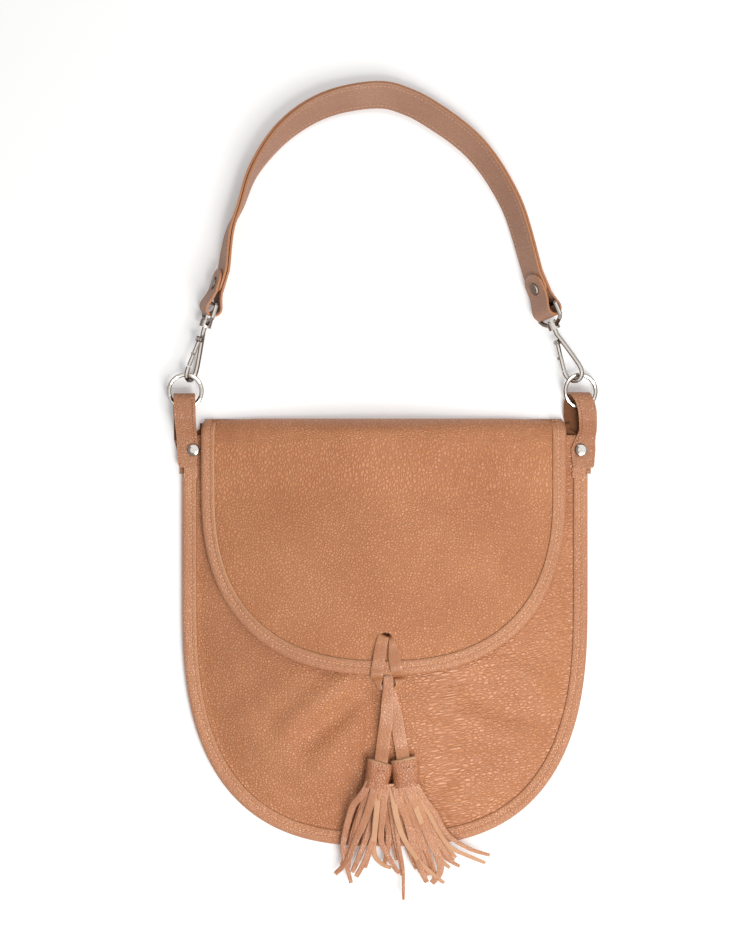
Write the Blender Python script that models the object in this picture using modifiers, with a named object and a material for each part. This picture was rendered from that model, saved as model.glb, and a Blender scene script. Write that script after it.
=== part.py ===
"""Leather shoulder bag with a bound flap, a hitched pair of tassels and a clip-on handle.

The bag lies on its back: +X to its right, +Y towards the handle, +Z out of its front.
The origin is the middle of the flat back.
"""

import bmesh
import bpy
import math
from mathutils import Matrix, Vector

MM = 0.001

# Body of the bag
BODY_HALF_WIDTH = 143 * MM
BODY_ARC_TOP = 23.5 * MM
BODY_ARC_DEPTH = 174.3 * MM
BODY_ARC_POWER = 2.7
BACK_TOP = 147.6 * MM
MOUTH_TOP = BACK_TOP - 8.6 * MM
BELLY_LOW = -20 * MM
BELLY_CROWN = 22 * MM
MOUTH_CROWN = 12 * MM
BELLY_POWER = 2.2

# Leather and the seams
SKIN = 1.5 * MM
BACK_THICK = 3.0 * MM
SKIVE = 1.8 * MM
LINING = 0.7 * MM
LINING_INSET = 21 * MM
LINING_TOP = MOUTH_TOP - 9 * MM
GAP = 0.3 * MM
BINDING_THICK = 1.2 * MM
BINDING_WIDTH = 10 * MM
MOUTH_BINDING_THICK = 1.0 * MM
MOUTH_BINDING_WIDTH = 8 * MM
MOUTH_BINDING_HALF = BODY_HALF_WIDTH - 22 * MM

# Flap, measured on its outer face
FLAP_HALF_WIDTH = BODY_HALF_WIDTH - 14.4 * MM
FLAP_CENTRE = -0.9 * MM
FLAP_ARC_TOP = 100.5 * MM
FLAP_ARC_DEPTH = 128.1 * MM
FLAP_ARC_POWER = 2.45
FLAP_FOLD_TOP = BACK_TOP + 3.2 * MM
FLAP_FOLD_REACH = 11 * MM
FLAP_FOLD_FOOT = 1.6 * MM
FOLD_RUN = 20 * MM
FLAP_SPINE_LOW = 40 * MM
FLAP_BINDING_THICK = 1.0 * MM
FLAP_BINDING_WIDTH = 8.6 * MM
FLAP_REST = 2.0 * MM
FLAP_MOUTH_REST = 0.9 * MM
FLAP_MOUTH_RUN = 20 * MM
FLAP_RISE = 3.4 * MM
FLAP_RISE_REACH = 50 * MM
FLAP_EDGE_Y = FLAP_ARC_TOP - FLAP_ARC_DEPTH

# Hidden magnetic snap under the flap
SNAP_RADIUS = 7 * MM
SNAP_Y = 30 * MM
SOCKET_THICK = 1.9 * MM
STUD_THICK = 0.9 * MM
SNAP_NIB_RADIUS = 2.4 * MM
SNAP_NIB = 0.7 * MM
SNAP_CLEAR = 0.35 * MM

# Hitch: a lace pulled through a punched hole and round the flap's edge
HOLE_X = 0.2 * MM
HOLE_Y = FLAP_EDGE_Y + 24.8 * MM
HOLE_RADIUS = 4.75 * MM
LACE_WIDTH = 8.2 * MM
LACE_THICK = 1.5 * MM
LACE_PINCHED = 5.4 * MM
HITCH_WIDTH = 5.6 * MM
LIFT_Y = FLAP_EDGE_Y - 1.8 * MM
BIGHT_Y = LIFT_Y - 9.1 * MM
HITCH_BAND_RUN = 3 * MM
HITCH_STEP_RUN = 1.5 * MM
HITCH_DROP_RUN = 3.5 * MM
HITCH_LEAN = 1 * MM
HITCH_LEFT = -7.8 * MM
HITCH_RIGHT = 14.8 * MM
LEFT_LACE_X = 0.6 * MM
RIGHT_LACE_X = 6.4 * MM
LACE_LIFT = 2.7 * MM
LACE_SETTLE = 22 * MM
LACE_SPREAD_START = 8 * MM
LACE_SPREAD = 16 * MM
LACE_CLIMB = 12 * MM
LACE_NECK = 6.8 * MM
LEFT_LACE_BOW = 1.2 * MM
RIGHT_LACE_BOW = 2.5 * MM

# Tassels
HEAD_LENGTH = 17 * MM
HEAD_HALF_WIDTH = 7.9 * MM
HEAD_HALF_THICK = 4.6 * MM
HEAD_WALL = 1.5 * MM
HEAD_CLEAR = 0.6 * MM
KNOT_RADIUS = 3.0 * MM
KNOT_DEPTH = 3.6 * MM
LEFT_KNOT = (LEFT_LACE_X - 4.7 * MM, LIFT_Y - 62.4 * MM)
RIGHT_KNOT = (RIGHT_LACE_X + 7.1 * MM, LIFT_Y - 60.3 * MM)
LEFT_HEAD_TURN = math.radians(-7)
RIGHT_HEAD_TURN = math.radians(10)
TASSEL_SWING = math.radians(20)
CORE_PROUD = 2 * MM
ROOT_SPREAD_SHARE = 0.8
STRAND_WIDTH = 3.2 * MM
STRAND_TIP_WIDTH = 3.9 * MM
STRAND_THICK = 1.4 * MM
STRAND_LAYER = 2.2 * MM
STRAND_STAGGER = 0.4 * MM
FRINGE_REACH = 99 * MM
FRINGE_PAST_EDGE = 31 * MM
FRINGE_DROOP_RUN = 9 * MM
FRINGE_DROOP = 5 * MM

# Ring tabs at the top corners
TAB_HALF_WIDTH = 7.6 * MM
TAB_LOOP_HALF_WIDTH = 7.1 * MM
TAB_END_HALF_WIDTH = 6.6 * MM
TAB_THICK = 1.5 * MM
TAB_RIVET_Y = BACK_TOP - 19.1 * MM
TAB_LOW = TAB_RIVET_Y - 16.7 * MM
TAB_RISE_START = BACK_TOP + 1.4 * MM
TAB_FRONT_RUN = 3 * MM
TAB_MOUTH_RISE = 1 * MM
TAB_MOUTH_RUN = 4 * MM
TAB_SHIFT_START = MOUTH_TOP + 2 * MM
TAB_BACK_SHIFT_START = TAB_RISE_START + 1 * MM
TAB_LEAN_START = TAB_RIVET_Y + 6 * MM

# Line that the handle lifts about
LIFT_LINE_Y = BACK_TOP + 10.8 * MM
LIFT_LINE_Z = 10 * MM
TAB_CREST = LIFT_LINE_Y - 5.4 * MM
TAB_BACK_SHIFT_END = LIFT_LINE_Y + 6.6 * MM
# Room for the ring below and above it, how far each strip and the foot are pulled sideways, and the rivet's place
LEFT_TAB = {"x": 2.7 * MM - BODY_HALF_WIDTH, "end": LIFT_LINE_Y + 10 * MM, "below": 3.6 * MM, "above": 5.6 * MM,
            "back_shift": 0.0, "front_shift": 0.0, "foot_shift": 2.6 * MM, "rivet_shift": 5.5 * MM}
RIGHT_TAB = {"x": BODY_HALF_WIDTH - 5.1 * MM, "end": LIFT_LINE_Y + 10.8 * MM, "below": 4.6 * MM, "above": 7.3 * MM,
             "back_shift": -4.5 * MM, "front_shift": 0.6 * MM, "foot_shift": 0.0, "rivet_shift": 0.0}

# Rings
RING_RADIUS = 11.5 * MM
RING_WIRE = 1.5 * MM
LEFT_RING_X = LEFT_TAB["x"]
RIGHT_RING_X = RIGHT_TAB["x"] - 0.5 * MM
RIGHT_RING_TILT = math.radians(18)

# Snap clips: measured down from the swivel collar
CLIP_WIRE = 1.7 * MM
EYE_WIRE = 1.5 * MM
EYE_HALF = 12.7 * MM
EYE_CORNER = 0.7 * MM
EYE_REACH = 17.35 * MM
COLLAR_RADIUS = 4.2 * MM
COLLAR_LENGTH = 5 * MM
SWIVEL_GAP = 0.3 * MM
SWIVEL_HEAD_RADIUS = 2.9 * MM
SWIVEL_HEAD = 1.5 * MM
HOOK_BEND_RADIUS = 6.6 * MM
HOOK_BEND_DEPTH = 32.4 * MM
HOOK_SIDE = 0.6 * MM
HOOK_NOSE = HOOK_BEND_DEPTH - 2.6 * MM
GATE_PIVOT_SIDE = -2.2 * MM
GATE_PIVOT_SHARE = 0.28
GATE_RADIUS = 1.5 * MM
GATE_TIP_GAP = 0.35 * MM
GATE_EAR_RADIUS = 1.9 * MM
GATE_EAR_WIDTH = 4.6 * MM
LUG_WIDTH = 1.5 * MM
PIN_RADIUS = 0.7 * MM
STUD_RADIUS = 1.1 * MM
STUD_REACH = 2.6 * MM
LEFT_EYE_AIM = (LEFT_RING_X + 19.2 * MM, LIFT_LINE_Y + 73.0 * MM, LIFT_LINE_Z + 3.8 * MM)
RIGHT_EYE_AIM = (RIGHT_RING_X - 26.8 * MM, LIFT_LINE_Y + 75.1 * MM, LIFT_LINE_Z + 3.0 * MM)
LEFT_HOOK_TILT = math.radians(-68)
RIGHT_HOOK_TILT = math.radians(34)

# Handle strap: two strips, each with a loop at one end
STRAP_WIDTH = 20 * MM
STRIP_THICK = 1.8 * MM
STRAP_NECK = 24.5 * MM
STRAP_OVERLAP = 16 * MM
STRAP_RIVET_AT = 10.5 * MM
LOOP_RADIUS = 5.2 * MM
LOOP_CENTRE = 27.2 * MM
LOOP_NECK_RUN = 4 * MM
LOOP_NECK_RISE = 0.9 * MM
ARCH_HALF_SPAN = BODY_HALF_WIDTH - 33.8 * MM
ARCH_CENTRE = -4.9 * MM
ARCH_BASE = LIFT_LINE_Y + 97.5 * MM
ARCH_RISE = 122.5 * MM
# across as a share of the half span, up as a share of the rise, lean in degrees
ARCH_SHARES = (
    (-0.955, 0.206, -12), (-0.885, 0.360, 0), (-0.795, 0.571, 10), (-0.599, 0.794, 30),
    (-0.333, 0.943, 45), (-0.006, 1.0, 54), (0.205, 0.954, 52), (0.389, 0.861, 50),
    (0.554, 0.752, 46), (0.673, 0.643, 42), (0.788, 0.491, 38), (0.891, 0.300, 35),
)
LEFT_LEAN = math.radians(-20)
RIGHT_LEAN = math.radians(31)
TABLE_CLEAR = 0.7 * MM

# Rivets: a domed cap with a socket, and a post with a flat base
CAP_RADIUS = 4.35 * MM
CAP_HEIGHT = 1.3 * MM
CAP_EDGE = 0.5 * MM
SOCKET_RADIUS = 2.0 * MM
POST_RADIUS = 1.2 * MM
POST_HOLE = 2.3 * MM
POST_BORE = 1.5 * MM
BASE_HEIGHT = 0.55 * MM
BASE_SEAT = 0.2 * MM

# Smoothness
SIDE_STEPS = 6
ARC_STEPS = 26
TURN_STEPS = 8
LINING_SHARE = 0.84
FLAP_SHARES = (0.0, 0.3, 0.55, 0.76, 0.9, 1.0)
SWING_STEPS = 4
STRAND_STEPS = 6
OVERRUN = 2 * MM
WELD = 0.01 * MM
SLOPE_STEP = 1 * MM
HINGE_MARK = 10 * MM

for old in list(bpy.data.objects):
    bpy.data.objects.remove(old, do_unlink=True)

parts = bpy.data.collections.new("leather_shoulder_bag")
cutters = bpy.data.collections.new("bag_cutters")
bpy.context.scene.collection.children.link(parts)
bpy.context.scene.collection.children.link(cutters)


def material(name, colour, roughness, metallic=0.0):
    found = bpy.data.materials.new(name)
    found.use_nodes = True
    shader = found.node_tree.nodes["Principled BSDF"]
    shader.inputs["Base Color"].default_value = (*colour, 1.0)
    shader.inputs["Roughness"].default_value = roughness
    shader.inputs["Metallic"].default_value = metallic
    found.diffuse_color = (*colour, 1.0)
    return found


TAN = (0.55, 0.24, 0.12)
PALE_TAN = (0.62, 0.33, 0.18)
SUEDE = (0.55, 0.38, 0.24)
NICKEL = (0.72, 0.70, 0.66)


def own_material(name, colour, roughness=0.5, metallic=0.0):
    return material(name + "_finish", colour, roughness, metallic)


def piece(name, mesh, colour, roughness=0.5, metallic=0.0, smooth_angle=35):
    """A named sub-part in the bag's collection with its own material."""
    mesh.materials.clear()
    mesh.materials.append(own_material(name, colour, roughness, metallic))
    obj = bpy.data.objects.new(name, mesh)
    parts.objects.link(obj)
    mesh.shade_smooth()
    mesh.set_sharp_from_angle(angle=math.radians(smooth_angle))
    return obj


def hidden(name, mesh):
    """A solid that only cuts or joins another."""
    obj = bpy.data.objects.new(name, mesh)
    cutters.objects.link(obj)
    obj.hide_render = True
    obj.display_type = "WIRE"
    return obj


def boolean(obj, other, operation="DIFFERENCE"):
    step = obj.modifiers.new(operation.lower(), "BOOLEAN")
    step.operation = operation
    step.solver = "EXACT"
    step.object = other


def mesh_of(name, bm):
    bmesh.ops.recalc_face_normals(bm, faces=bm.faces)
    mesh = bpy.data.meshes.new(name)
    bm.to_mesh(mesh)
    bm.free()
    return mesh


def sheet_of(name, rows):
    """Open sheet: a grid bent so that it passes through the rows of points."""
    bm = bmesh.new()
    across, along = len(rows[0]) - 1, len(rows) - 1
    grid = bmesh.ops.create_grid(bm, x_segments=across, y_segments=along, size=1.0)
    for vert in grid["verts"]:
        i = round((vert.co.x + 1) / 2 * across)
        j = round((vert.co.y + 1) / 2 * along)
        vert.co = rows[j][i]
    return mesh_of(name, bm)


def evaluated(name, mesh, settings):
    """Mesh with one modifier applied: its type, then its values by name."""
    guide = bpy.data.objects.new(name + "_guide", mesh)
    bpy.context.scene.collection.objects.link(guide)
    step = guide.modifiers.new(name, settings["type"])
    for key, value in settings.items():
        if key != "type":
            setattr(step, key, value)
    graph = bpy.context.evaluated_depsgraph_get()
    made = bpy.data.meshes.new_from_object(guide.evaluated_get(graph))
    bpy.data.objects.remove(guide, do_unlink=True)
    made.name = name
    return made


def thick_sheet(name, rows, thick):
    """Leather bent through the rows of points, with its thickness on both sides of them."""
    return evaluated(name, sheet_of(name, rows), {
        "type": "SOLIDIFY", "thickness": thick, "offset": 0.0, "use_even_offset": True,
        "use_quality_normals": True})


def turned(name, profile, sides=20):
    """Solid of revolution about local Z from (radius, height) points, bottom to top."""
    bm = bmesh.new()
    closed = [(0.0, profile[0][1])] + list(profile) + [(0.0, profile[-1][1])]
    verts = [bm.verts.new((radius, 0, height)) for radius, height in closed]
    for low, high in zip(verts, verts[1:]):
        bm.edges.new((low, high))
    outline = bpy.data.meshes.new(name)
    bm.to_mesh(outline)
    bm.free()
    mesh = evaluated(name, outline, {
        "type": "SCREW", "steps": sides, "render_steps": sides, "use_merge_vertices": True,
        "merge_threshold": WELD, "use_normal_calculate": True})
    bm = bmesh.new()
    bm.from_mesh(mesh)
    return mesh_of(name, bm)


def cylinder(name, radius, length, sides=20):
    """Cylinder centred on the origin, along local Z."""
    bm = bmesh.new()
    bmesh.ops.create_cone(bm, cap_ends=True, segments=sides, radius1=radius, radius2=radius, depth=length)
    return mesh_of(name, bm)


def box(name, size, centre=(0, 0, 0)):
    bm = bmesh.new()
    bmesh.ops.create_cube(bm, size=1.0)
    bmesh.ops.scale(bm, vec=size, verts=bm.verts)
    bmesh.ops.translate(bm, vec=centre, verts=bm.verts)
    return mesh_of(name, bm)


def tube(name, points, radius, cyclic=False):
    """Round wire along the points, made a mesh with its caps welded."""
    curve = bpy.data.curves.new(name, "CURVE")
    curve.dimensions = "3D"
    curve.bevel_depth = radius
    curve.bevel_resolution = 2
    curve.use_fill_caps = True
    spline = curve.splines.new("POLY")
    spline.points.add(len(points) - 1)
    for slot, point in zip(spline.points, points):
        slot.co = (*point, 1.0)
    spline.use_cyclic_u = cyclic
    guide = bpy.data.objects.new(name + "_guide", curve)
    bpy.context.scene.collection.objects.link(guide)
    graph = bpy.context.evaluated_depsgraph_get()
    mesh = bpy.data.meshes.new_from_object(guide.evaluated_get(graph))
    bpy.data.objects.remove(guide, do_unlink=True)
    bm = bmesh.new()
    bm.from_mesh(mesh)
    bmesh.ops.remove_doubles(bm, verts=bm.verts, dist=WELD)
    bmesh.ops.recalc_face_normals(bm, faces=bm.faces)
    bm.to_mesh(mesh)
    bm.free()
    return mesh


def smooth(t):
    t = min(1.0, max(0.0, t))
    return t * t * (3 - 2 * t)


def mix(a, b, t):
    return a + (b - a) * t


def curve_through(points, steps):
    """Smooth row of points through the given ones, the same number of steps in each span."""
    points = [Vector(p) for p in points]
    row = []
    last = len(points) - 1
    for i in range(last):
        before = points[max(i - 1, 0)]
        start, end = points[i], points[i + 1]
        after = points[min(i + 2, last)]
        for k in range(steps):
            t = k / steps
            row.append(0.5 * (2 * start + (end - before) * t
                              + (2 * before - 5 * start + 4 * end - after) * t * t
                              + (3 * start - before - 3 * end + after) * t ** 3))
    row.append(points[-1])
    return row


def u_outline(half_width, tops, arc_top, depth, power, inset, centre=0.0):
    """Outline from the top left corner, down, round the arc and up to the top right corner.

    Gives (x, y, outward x, outward y), moved in by the inset. The sides start at the given tops.
    """
    sides = list(tops[:-1]) + [mix(tops[-1], arc_top, k / SIDE_STEPS) for k in range(SIDE_STEPS)]
    rows = [(-half_width, y, -1.0, 0.0) for y in sides]
    for k in range(ARC_STEPS + 1):
        turn = math.pi * k / ARC_STEPS
        c, s = math.cos(turn), math.sin(turn)
        x = -half_width * math.copysign(abs(c) ** (2 / power), c)
        y = -depth * abs(s) ** (2 / power)
        nx = math.copysign(abs(x / half_width) ** (power - 1) / half_width, x)
        ny = -abs(y / depth) ** (power - 1) / depth
        size = math.hypot(nx, ny)
        rows.append((x, arc_top + y, nx / size, ny / size))
    rows += [(half_width, y, 1.0, 0.0) for y in sides[::-1]]
    return [(centre + x - inset * nx, y - inset * ny, nx, ny) for x, y, nx, ny in rows]


PANEL_INSET = BINDING_THICK + GAP
BODY_RIM = BACK_THICK + GAP + SKIN
PANEL_HALF = BODY_HALF_WIDTH - PANEL_INSET
BELLY_REACH = BODY_ARC_DEPTH - BODY_ARC_TOP + BELLY_LOW - PANEL_INSET
FLANGE_SHARE = 1 - (BINDING_WIDTH + 2 * GAP) / BELLY_REACH
PANEL_SHARES = (0.0, 0.3, 0.55, 0.75, LINING_SHARE, FLANGE_SHARE, 1.0)


def body_outline(inset, *tops):
    return u_outline(BODY_HALF_WIDTH, tops, BODY_ARC_TOP, BODY_ARC_DEPTH, BODY_ARC_POWER, inset)


def body_share(x, y):
    """How far a point lies from the belly's spine towards the panel's rim, 0 to 1."""
    depth = BODY_ARC_DEPTH - PANEL_INSET
    spine = max(y, BELLY_LOW)

    def outside(k):
        px = abs(x) * k
        py = BODY_ARC_TOP - (spine + (y - spine) * k)
        return (px / PANEL_HALF) ** BODY_ARC_POWER + (max(py, 0) / depth) ** BODY_ARC_POWER > 1

    low, high = 0.0, 1000.0
    for _ in range(50):
        middle = (low + high) / 2
        if outside(middle):
            high = middle
        else:
            low = middle
    return min(1.0, 1 / high)


def belly(x, y):
    """Height of the front panel's outer face."""
    crown = mix(BELLY_CROWN, MOUTH_CROWN, smooth((y - BELLY_LOW) / (MOUTH_TOP - BELLY_LOW)))
    share = min(1.0, body_share(x, y) / FLANGE_SHARE)
    return BODY_RIM + crown * (1 - share ** BELLY_POWER)


def fan_sheet(name, outline, shares, spine_low, place):
    """Open sheet from a grid bent to an outline: rows across the sides, a fan round the arc."""
    bm = bmesh.new()
    across, along = len(shares) - 1, len(outline) - 1
    grid = bmesh.ops.create_grid(bm, x_segments=along, y_segments=across, size=1.0)
    for vert in grid["verts"]:
        i = round((vert.co.x + 1) / 2 * along)
        share = shares[round((vert.co.y + 1) / 2 * across)]
        x, y = outline[i][0], outline[i][1]
        centre = (outline[0][0] + outline[-1][0]) / 2
        spine = max(y, spine_low)
        vert.co = place(centre + (x - centre) * share, spine + (y - spine) * share)
    bmesh.ops.remove_doubles(bm, verts=bm.verts, dist=WELD)
    bmesh.ops.recalc_face_normals(bm, faces=bm.faces)
    if sum(face.normal.z for face in bm.faces) < 0:
        bmesh.ops.reverse_faces(bm, faces=bm.faces)
    mesh = bpy.data.meshes.new(name)
    bm.to_mesh(mesh)
    bm.free()
    return mesh


def thicken(obj, thickness):
    """Give an open sheet its thickness, inwards from the face that is modelled."""
    shell = obj.modifiers.new("thickness", "SOLIDIFY")
    shell.thickness = thickness
    shell.offset = -1.0
    shell.use_even_offset = True


def flat_plate(name, outline, low, high):
    """Plate from a filled outline."""
    curve = bpy.data.curves.new(name, "CURVE")
    curve.dimensions = "2D"
    curve.fill_mode = "BOTH"
    curve.extrude = (high - low) / 2
    spline = curve.splines.new("POLY")
    spline.points.add(len(outline) - 1)
    for slot, point in zip(spline.points, outline):
        slot.co = (point[0], point[1], 0.0, 1.0)
    spline.use_cyclic_u = True
    guide = bpy.data.objects.new(name + "_guide", curve)
    bpy.context.scene.collection.objects.link(guide)
    graph = bpy.context.evaluated_depsgraph_get()
    mesh = bpy.data.meshes.new_from_object(guide.evaluated_get(graph))
    bpy.data.objects.remove(guide, do_unlink=True)
    bm = bmesh.new()
    bm.from_mesh(mesh)
    bmesh.ops.remove_doubles(bm, verts=bm.verts, dist=WELD)
    bmesh.ops.translate(bm, vec=(0, 0, (low + high) / 2), verts=bm.verts)
    bmesh.ops.recalc_face_normals(bm, faces=bm.faces)
    bm.to_mesh(mesh)
    bm.free()
    return mesh


def binding_profile(width, thick, sheet):
    """Middle of a binding folded over an edge: outwards, and up from the sheet's outer face."""
    out = GAP + thick / 2
    low = -sheet - out
    return ((-width, out), (out - GAP, out), (out, out - GAP), (out, low + GAP), (out - GAP, low), (-width, low))


def swept(name, frames, profile, thick):
    """Leather folded to an open profile, along frames of (point, outward, up)."""
    return thick_sheet(name, [[p + out * u + up * v for u, v in profile] for p, out, up in frames], thick)


def ribbon(name, frames, thick):
    """Flat strap along frames of (centre, across, normal, half width)."""
    return thick_sheet(name, [[c - across * half, c + across * half] for c, across, _, half in frames], thick)


def hinge_point(name, place):
    """Empty on a joint's axis, which its moving pieces hang on."""
    empty = bpy.data.objects.new(name, None)
    empty.location = place
    empty.empty_display_size = HINGE_MARK
    parts.objects.link(empty)
    bpy.context.view_layer.update()
    return empty


def hang(obj, empty):
    obj.parent = empty
    obj.matrix_parent_inverse = empty.matrix_world.inverted()


def slope_along(height, x, y):
    """Tilt of a height field along Y at a point, as an angle about X."""
    return math.atan2(height(x, y + SLOPE_STEP) - height(x, y - SLOPE_STEP), 2 * SLOPE_STEP)


# Body shell


def make_back():
    inner = flat_plate("back_board", body_outline(PANEL_INSET + BINDING_WIDTH + GAP, BACK_TOP), 0, BACK_THICK)
    rim = flat_plate("back_rim", body_outline(PANEL_INSET, BACK_TOP), SKIVE, BACK_THICK)
    back = piece("back_panel", inner, TAN)
    boolean(back, hidden("back_rim", rim), "UNION")
    for side, tab in (("left", LEFT_TAB), ("right", RIGHT_TAB)):
        width = 2 * TAB_HALF_WIDTH + 2 * GAP + abs(tab["foot_shift"])
        length = BACK_TOP - TAB_LOW + GAP + OVERRUN
        seat = box(side + "_tab_seat", (width, length, 2 * SKIVE),
                   (tab["x"] + tab["foot_shift"] / 2, TAB_LOW - GAP + length / 2, 0))
        boolean(back, hidden(side + "_tab_seat", seat))
    return back


def make_front():
    sheet = fan_sheet("front_panel", body_outline(PANEL_INSET, MOUTH_TOP, LINING_TOP), PANEL_SHARES, BELLY_LOW,
                      lambda x, y: (x, y, belly(x, y)))
    front = piece("front_panel", sheet, TAN)
    thicken(front, SKIN)
    return front


def make_linings():
    depth = SKIN + GAP
    shares = PANEL_SHARES[:PANEL_SHARES.index(LINING_SHARE) + 1]
    sheet = fan_sheet("front_lining", body_outline(PANEL_INSET, LINING_TOP), shares, BELLY_LOW,
                      lambda x, y: (x, y, belly(x, y) - depth))
    thicken(piece("front_lining", sheet, SUEDE, 0.8), LINING)
    low = BACK_THICK + GAP
    plate = flat_plate("back_lining", body_outline(LINING_INSET, LINING_TOP), low, low + LINING)
    piece("back_lining", plate, SUEDE, 0.8)


def make_edge_binding():
    frames = []
    for x, y, nx, ny in body_outline(PANEL_INSET, TAB_LOW - GAP):
        frames.append((Vector((x, y, BODY_RIM)), Vector((nx, ny, 0)), Vector((0, 0, 1))))
    profile = binding_profile(BINDING_WIDTH, BINDING_THICK, BODY_RIM - SKIVE)
    piece("edge_binding", swept("edge_binding", frames, profile, BINDING_THICK), PALE_TAN)


def make_mouth_binding():
    steps = 20
    frames = []
    for k in range(steps + 1):
        x = MOUTH_BINDING_HALF * (2 * k / steps - 1)
        tilt = slope_along(belly, x, MOUTH_TOP - MOUTH_BINDING_WIDTH / 2)
        out = Vector((0, math.cos(tilt), math.sin(tilt)))
        up = Vector((0, -math.sin(tilt), math.cos(tilt)))
        frames.append((Vector((x, MOUTH_TOP, belly(x, MOUTH_TOP))), out, up))
    profile = binding_profile(MOUTH_BINDING_WIDTH, MOUTH_BINDING_THICK, SKIN)
    piece("mouth_binding", swept("mouth_binding", frames, profile, MOUTH_BINDING_THICK), PALE_TAN)


# Flap


def flap_under(x, y):
    """Height of the flap panel's inner face over the front."""
    near_mouth = smooth((y - (FLAP_FOLD_TOP - FLAP_FOLD_REACH - 2 * FLAP_MOUTH_RUN)) / FLAP_MOUTH_RUN)
    rise = FLAP_RISE * math.exp(-((x - FLAP_CENTRE) / FLAP_RISE_REACH) ** 2)
    return belly(x, min(y, MOUTH_TOP)) + FLAP_REST + FLAP_MOUTH_REST * near_mouth + rise


FOLD_START = FLAP_FOLD_TOP - FLAP_FOLD_REACH


def flap_place(depth):
    """Maps the flap's unrolled outline on to its shape, a depth below its outer face."""

    def place(x, y):
        top = flap_under(x, min(y, FOLD_START)) + SKIN - depth
        if y <= FOLD_START:
            return Vector((x, y, top))
        turn = min(1.0, (y - FOLD_START) / FOLD_RUN) * math.pi / 2
        reach = FLAP_FOLD_REACH - depth
        return Vector((x, FOLD_START + reach * math.sin(turn),
                       FLAP_FOLD_FOOT + (top - FLAP_FOLD_FOOT) * math.cos(turn)))

    return place


def flap_outline(inset):
    rows = u_outline(FLAP_HALF_WIDTH, (FOLD_START, ), FLAP_ARC_TOP, FLAP_ARC_DEPTH, FLAP_ARC_POWER,
                     inset, FLAP_CENTRE)
    steps = 6
    left, right = rows[0], rows[-1]
    up = [(left[0], FOLD_START + FOLD_RUN * (steps - k) / steps, -1.0, 0.0) for k in range(steps)]
    down = [(right[0], FOLD_START + FOLD_RUN * (k + 1) / steps, 1.0, 0.0) for k in range(steps)]
    return up + rows + down


FLAP_PANEL_INSET = FLAP_BINDING_THICK + GAP


def hole_cutter(name):
    middle = flap_under(HOLE_X, HOLE_Y)
    cutter = hidden(name, cylinder(name, HOLE_RADIUS, 2 * (middle - belly(HOLE_X, HOLE_Y) + SKIN)))
    cutter.location = (HOLE_X, HOLE_Y, middle)
    return cutter


def make_flap():
    panel = piece("flap_panel", fan_sheet("flap_panel", flap_outline(FLAP_PANEL_INSET), FLAP_SHARES, FLAP_SPINE_LOW,
                                          flap_place(0)), TAN)
    thicken(panel, SKIN)
    boolean(panel, hole_cutter("panel_hole"))
    inset = FLAP_PANEL_INSET + FLAP_BINDING_WIDTH + GAP
    lining = piece("flap_lining", fan_sheet("flap_lining", flap_outline(inset), FLAP_SHARES, FLAP_SPINE_LOW,
                                            flap_place(SKIN + GAP)), SUEDE, 0.8)
    thicken(lining, LINING)
    boolean(lining, hole_cutter("lining_hole"))
    place = flap_place(0)
    frames = []
    rows = flap_outline(FLAP_PANEL_INSET)
    back = FLAP_BINDING_WIDTH / 2
    for i, (x, y, nx, ny) in enumerate(rows):
        here = place(x, y)
        ahead = rows[min(i + 1, len(rows) - 1)]
        behind = rows[max(i - 1, 0)]
        along = (place(ahead[0], ahead[1]) - place(behind[0], behind[1])).normalized()
        out = here - place(x - nx * back, y - ny * back)
        out = (out - along * out.dot(along)).normalized()
        up = along.cross(out) if along.cross(out).dot(Vector((0, 1, 1))) > 0 else out.cross(along)
        frames.append((here, out, up.normalized()))
    profile = binding_profile(FLAP_BINDING_WIDTH, FLAP_BINDING_THICK, SKIN)
    binding = piece("flap_binding", swept("flap_binding", frames, profile, FLAP_BINDING_THICK), PALE_TAN)
    return panel, lining, binding


def make_snap():
    """Magnetic snap: a socket on the front, a stud on the flap's lining."""
    tilt = slope_along(belly, 0, SNAP_Y)
    seat = belly(0, SNAP_Y) + SNAP_CLEAR
    dish = SNAP_NIB + GAP
    socket = piece("snap_socket", turned("snap_socket", (
        (SNAP_RADIUS, 0), (SNAP_RADIUS, SOCKET_THICK), (SNAP_NIB_RADIUS + GAP, SOCKET_THICK),
        (SNAP_NIB_RADIUS + GAP, SOCKET_THICK - dish))), NICKEL, 0.3, 1.0)
    stud = piece("snap_stud", turned("snap_stud", (
        (SNAP_NIB_RADIUS, -SNAP_NIB), (SNAP_NIB_RADIUS, 0), (SNAP_RADIUS, 0), (SNAP_RADIUS, STUD_THICK))),
        NICKEL, 0.3, 1.0)
    turn = Matrix.Rotation(tilt, 4, "X")
    socket.matrix_world = Matrix.Translation((0, SNAP_Y, seat)) @ turn
    lift = (turn @ Vector((0, 0, SOCKET_THICK + GAP)))
    stud.matrix_world = Matrix.Translation(Vector((0, SNAP_Y, seat)) + lift) @ turn
    return socket, stud


# Hitch, laces and tassels


def flap_top(x, y):
    return flap_under(x, y) + SKIN


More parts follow.
